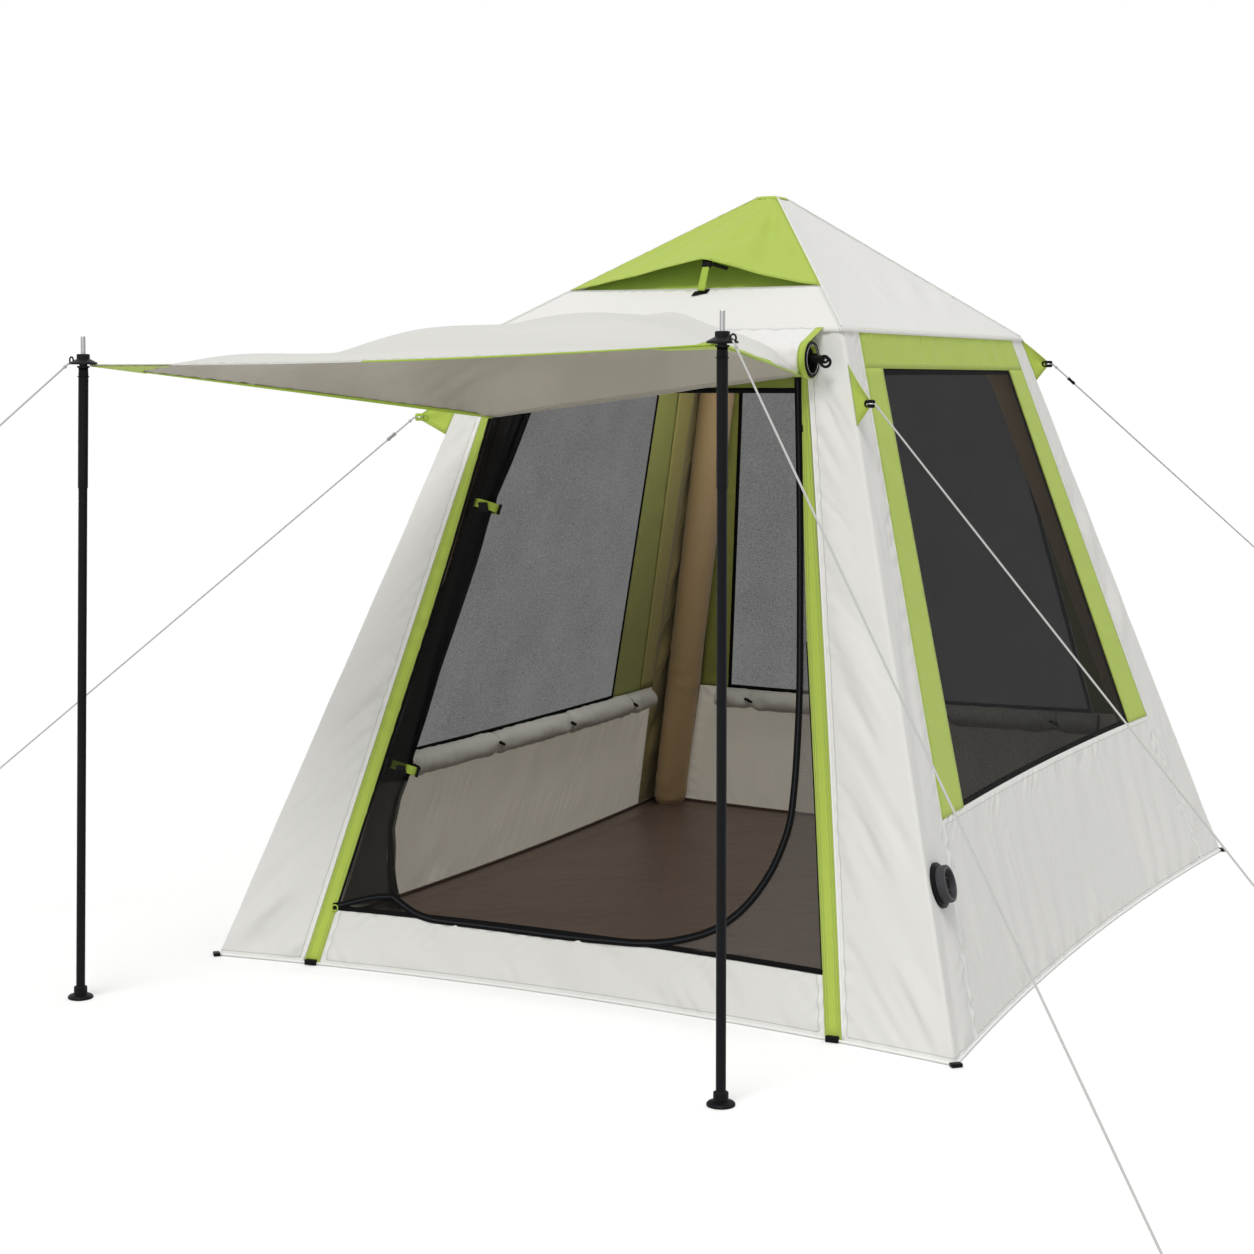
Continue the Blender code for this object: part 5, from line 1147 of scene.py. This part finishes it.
def build_air_frame():
    """Inflated beams in their covers: a leg and a rafter each, slightly wrinkled at bends and feet."""
    run = math.hypot(EAVE_HALF_X - 0.02, EAVE_HALF_Y - 0.02)
    slope = math.atan2(APEX_HEIGHT - EAVE_HEIGHT, run)
    plan = Vector((EAVE_HALF_X, EAVE_HALF_Y, 0.0)).normalized()
    hub_z = APEX_HEIGHT - 0.084
    for seed, (corner, (sx, sy)) in enumerate(CORNERS.items()):
        out = Vector((sx * plan.x, sy * plan.y, 0.0))
        rafter = out * math.cos(slope) - Vector((0.0, 0.0, math.sin(slope)))
        face = Vector((0.0, 0.0, hub_z)) + rafter * 0.1003
        ankle = corner_axis(sx, sy, 0.034, 0.148)
        foot = Vector((ankle.x, ankle.y, 0.004))
        reach = corner_axis(sx, sy, 1.715, 0.1118).dot(out)
        knee = out * reach
        knee.z = hub_z - reach * math.tan(slope)
        bend_a = knee + (ankle - knee).normalized() * 0.12
        bend_b = knee + (face - knee).normalized() * 0.12
        path = [foot, foot.lerp(ankle, 0.5)]
        path += [ankle.lerp(bend_a, k / 90) for k in range(91)]
        path += [(bend_a.lerp(knee, k / 10)).lerp(knee.lerp(bend_b, k / 10), k / 10) for k in range(1, 11)]
        path += [bend_b.lerp(face, k / 26) for k in range(1, 27)]
        path = np.array(path)
        steps = np.linalg.norm(np.diff(path, axis=0), axis=1)
        travel = np.concatenate([[0.0], np.cumsum(steps)])[:, None]
        angle = circle(32)[None, :]
        near_foot, near_sill = (bell(travel - at, 0.1) for at in (0.05, 0.62))
        crumple = waves(travel + 0.0 * angle, 0.06 * np.sin(angle), 200 + seed, 0.07, 0.2, 0.6)
        ring = 0.985 + crumple * (0.006 + 0.02 * near_foot + 0.022 * near_sill)
        ring[0] *= 0.8
        ring[1] *= 0.93
        slim = 0.955 if corner == "back_right" else 1.0
        tube("beam_" + corner, path, BEAM_RADIUS, BEAM_COVER, 32, ring=np.minimum(ring, 1.02) * slim,
             stands_for=["air_beam_" + corner])


def build_ground_sheet():
    """The floor: a slightly wrinkled sheet cut to the bowed hems, with its upstand."""
    margin = 0.012
    s, t = row(-1.0, 1.0, 131), column(-1.0, 1.0, 161)
    half_wide, half_deep = half_x(0.0), half_y(0.0)
    front, back = (wall_at(side, sign * s * (half_wide - margin), 0.0015, margin)
                   for side, sign in (("front", 1.0), ("back", -1.0)))
    left, right = (wall_at(side, sign * t * (half_deep - margin), 0.0015, margin)
                   for side, sign in (("left", -1.0), ("right", 1.0)))
    y = mix(front[..., 1], back[..., 1], (t + 1.0) / 2.0)
    x = mix(left[..., 0], right[..., 0], (s + 1.0) / 2.0)
    calm = clamped(np.minimum(1.0 - np.abs(s), 1.0 - np.abs(t)) / 0.1)
    crumple = 0.0014 * waves(x, y, 220, 0.26, 0.7, 0.9) + 0.0008 * waves(x, y, 221, 0.09, 2.0, 0.9)
    border = np.minimum((1.0 - np.abs(s)) * half_wide, (1.0 - np.abs(t)) * half_deep)
    lift = 0.0024 + calm * crumple + 0.006 * bell(border - 0.085, 0.016)
    patches = [(stacked(x, y, np.maximum(lift, 0.0008)), "")]
    for side in SIDES:
        half = half_x if runs_along_x(side) else half_y
        z = np.array([0.001, 0.004, 0.008, 0.012])[:, None]
        patches.append((wall_at(side, row(-1.0, 1.0, 100) * (half(z) - margin), z, margin)[:, ::-1], ""))
    made = cloth("floor_sheet", patches, FLOOR_SHEET, thickness=THIN, stands_for=["ground_sheet"])


# Trim and hardware

# Of each tab: its lowest, middle and top height, how far it reaches and its heading
TABS = {
    "front_left": (1.475, 1.525, 1.635, 0.09, (-0.93492, -0.35485, 0.0)),
    "front_right": (1.511, 1.57, 1.675, 0.066, (0.87212, -0.48929, 0.0)),
    "back_left": (1.633, 1.687, 1.77, 0.06, (-0.69162, 0.72226, 0.0)),
    "back_right": (1.633, 1.687, 1.77, 0.06, (0.69162, 0.72226, 0.0)),
}


def build_tabs():
    """Green webbing triangles on the corners, drawn to their ropes, with a clip on each ring."""
    for corner, (sx, sy) in CORNERS.items():
        bottom, middle, top, reach, heading = TABS[corner]
        out = np.array(heading)
        finish = WEBBING if corner == "front_left" else BLACK
        z, s = column(bottom, top, 17), row(0.0, 1.0, 11)
        rise = (z - bottom) / (top - bottom)
        level = np.array([sx, sy, 0.0]) / math.sqrt(2.0)
        root = stacked(sx * half_x(z) + 0.0 * s, sy * half_y(z), z) - level * 0.003
        tip = np.array([sx * half_x(middle), sy * half_y(middle), middle]) + out * reach
        edge = tip + np.array(UP) * mix(-0.01, 0.01, rise)[..., None]
        side = np.cross(out, UP)
        bulge = 0.003 * np.sin(np.pi * s) * np.sin(2.6 * np.pi * rise)
        grid = mix(root, edge, s[..., None] ** 0.95) + side * bulge[..., None]
        cloth("tab_" + corner, [(grid, "bt")], GREEN, thickness=0.0016)
        for k, push in enumerate((-0.0018, 0.0018)):
            torus(f"tab_eyelet_{corner}_{k}", tip - out * 0.0105 + side * push, side, 0.0078, 0.0024,
                  finish, slot="black_plastic")
        block("ring_clip_" + corner, tip + out * 0.006, (0.026, 0.012, 0.022), (out, side, UP), finish,
              slot="black_plastic", bevel=0.0055)
        spot = np.array([sx * half_x(0.0055), sy * half_y(0.0055), 0.0055]) + level * 0.004
        block("foot_" + corner, spot, (0.018, 0.028, 0.009), (level, np.cross(level, UP), UP), BLACK)


def build_hems():
    """A round white piping along every hem, and a clip under each strip of the door."""
    for side in SIDES:
        half = half_x if runs_along_x(side) else half_y
        a = np.linspace(-1.0, 1.0, 121) * (half(0.006) - 0.004)
        tube("hem_piping_" + side, wall_at(side, a, 0.005, -0.0006), HEM_PIPING, PIPING, 8)
    for name, sign, outer in STRIPS:
        spot = wall_at("front", sign * (outer(0.01) - 0.023), 0.0085) + np.array([0.0, -0.0065, 0.0])
        block("strip_buckle_" + name, spot, (0.034, 0.014, 0.015), ((1.0, 0.1, 0.0), (-0.1, 1.0, 0.0), UP),
              BLACK, bevel=0.002)


def hub_finish():
    """Black moulding up to each hub's cone and bright steel above it, split by height."""
    for side, hub in HUBS:
        made, tree, shader, place = blank("hub_plastic_and_steel_" + side)
        height = node(tree, "SeparateXYZ", {0: place}).outputs[2]
        steel = maths(tree, "GREATER_THAN", height, hub[2] + 0.0282)
        set_inputs(tree, shader, {
            "Base Color": tinted(tree, colour("#161616"), steel, colour("#A9A9A9")), "Metallic": steel,
            "Roughness": ranged(tree, steel, 0.42, 0.25), "Specular IOR Level": 0.12})
        repaint("pole_hub_" + side, made)


def repaint(name, finish):
    """Give a solid of the part another finish through its object's own slot."""
    slot = NODES[name].material_slots[0]
    slot.link = "OBJECT"
    slot.material = finish


REPAINTED = (
    (BLACK, ("valve_flange", "valve_core", "header_end_cap", "header_plug", "vent_prop", "zip_slider",
             "toggle_upper", "toggle_lower", "tensioner_back_right")),
    (GREY, ("valve_barrel",)), (PALE, ("tensioner_front_left",)), (WHITE, ("header_tube",)),
    (BEAM_COVER, ("apex_hub",)), (WEBBING, ("door_strap_upper", "door_strap_lower")),
    (STEEL, tuple("guy_ring_" + corner for corner in CORNERS)),
)


def build_hardware():
    hub_finish()
    for side, hub in HUBS:
        for part in ("upper", "lower"):
            repaint(f"pole_{part}_{side}", POLE_PAINT)
        left = side == "left"
        centre = Vector(hub) + Vector((-0.031 if left else 0.031, -0.01, 0.012))
        torus(f"hub_loop_{side}", centre, (0.3, 1.0, 0.0), 0.0085, 0.0022, BLACK_CORD)
        pivot = Vector(hub) - Vector((0.0, 0.0, 0.023))
        lean = Vector((0.0212, 0.0, 0.9998)) if left else Vector(UP)
        torus(f"pole_collar_{side}", pivot - lean * 0.008, lean, 0.0142, 0.0014, BLACK,
              body=f"pole_{side}_upper")
        tube(f"pole_neck_{side}", [pivot + Vector((0.0, 0.0, 0.015)), pivot - Vector((0.0, 0.0, 0.001))],
             0.0125, BLACK, 16, body=f"pole_{side}_upper")
    for finish, names in REPAINTED:
        for name in names:
            repaint(name, finish)
    for name, x, radius, wire, finish in (("header_cap_lip", 0.501, 0.0448, 0.0042, BLACK),
                                          ("header_cap_rim", 0.5035, 0.0392, 0.0011, STEEL)):
        torus(name, (x, TUBE_Y, TUBE_HEIGHT), (1.0, 0.0, 0.0), radius, wire, finish)
    block("header_hook", (0.3, TUBE_Y - 0.04, TUBE_HEIGHT + 0.04), (0.026, 0.006, 0.008),
          ((1.0, 0.0, 0.35), (0.0, 1.0, -0.6), (0.0, 0.6, 1.0)), BLACK)


# Light and floor

def seen_rays(tree):
    """1 on rays that the camera sees straight, mirrored or through a clear thing."""
    rays = node(tree, "LightPath").outputs
    direct = maths(tree, "MAXIMUM", rays["Is Camera Ray"], rays["Is Glossy Ray"])
    return maths(tree, "MAXIMUM", direct, rays["Is Transmission Ray"])


def build_world():
    world = bpy.data.worlds.new("studio")
    bpy.context.scene.world = world
    world.use_nodes = True
    tree = world.node_tree
    strength = maths(tree, "ADD", maths(tree, "MULTIPLY", seen_rays(tree), 0.46), 0.54)
    set_inputs(tree, tree.nodes["Background"], {"Color": colour("#FFFFFF"), "Strength": strength})


def build_floor():
    """A pale matt floor, lifted to white where it is seen."""
    made, tree, shader, _ = blank("studio_floor")
    set_inputs(tree, shader, {
        "Base Color": (0.86, 0.86, 0.86, 1.0), "Roughness": 1.0, "Specular IOR Level": 0.0,
        "Emission Color": colour("#FFFFFF"),
        "Emission Strength": maths(tree, "MULTIPLY", seen_rays(tree), 0.145)})
    corners = [(40.0 * x, 40.0 * y, 0.0) for x, y in ((-1, -1), (1, -1), (1, 1), (-1, 1))]
    new_mesh("studio_floor", corners, [(0, 1, 2, 3)], [made])


def turned(place, target):
    """The rotation of a lamp that looks from its place to its target."""
    return (Vector(target) - Vector(place)).to_track_quat("-Z", "Y").to_euler()


def area_lamp(name, size, energy, place):
    light = bpy.data.lights.new(name, "AREA")
    light.shape, light.size, light.size_y, light.energy = "RECTANGLE", *size, energy
    lamp = linked(name, light)
    lamp.location = place
    return lamp


def build_lamps():
    """A wide soft sun, a weak front fill, and the daylight that real cloth lets into the cabin."""
    sun = bpy.data.lights.new("sun", "SUN")
    sun.energy, sun.angle = 1.65, math.radians(26.0)
    linked("sun", sun).rotation_euler = turned((0.0, 0.0, 0.0), (-0.05, 0.42, -0.9))
    place = (0.9, -6.0, 1.6)
    area_lamp("front_fill", (3.0, 2.0), 17.0, place).rotation_euler = turned(place, (-0.1, 0.0, 0.7))
    area_lamp("cabin_glow", (0.7, 1.0), 10.0, (0.0, 0.05, 1.8)).visible_camera = False


bpy.context.scene.view_settings.view_transform = "Standard"
for build in (
        build_camera, build_ropes, build_sleeves, build_lower_walls, build_window_surrounds, build_nets,
        build_front, build_fixed_net, build_gathered_door, build_rolls, build_canopy, build_vent,
        build_header, build_awning, build_air_frame, build_ground_sheet, build_tabs, build_hems,
        build_hardware, build_world, build_floor, build_lamps):
    build()
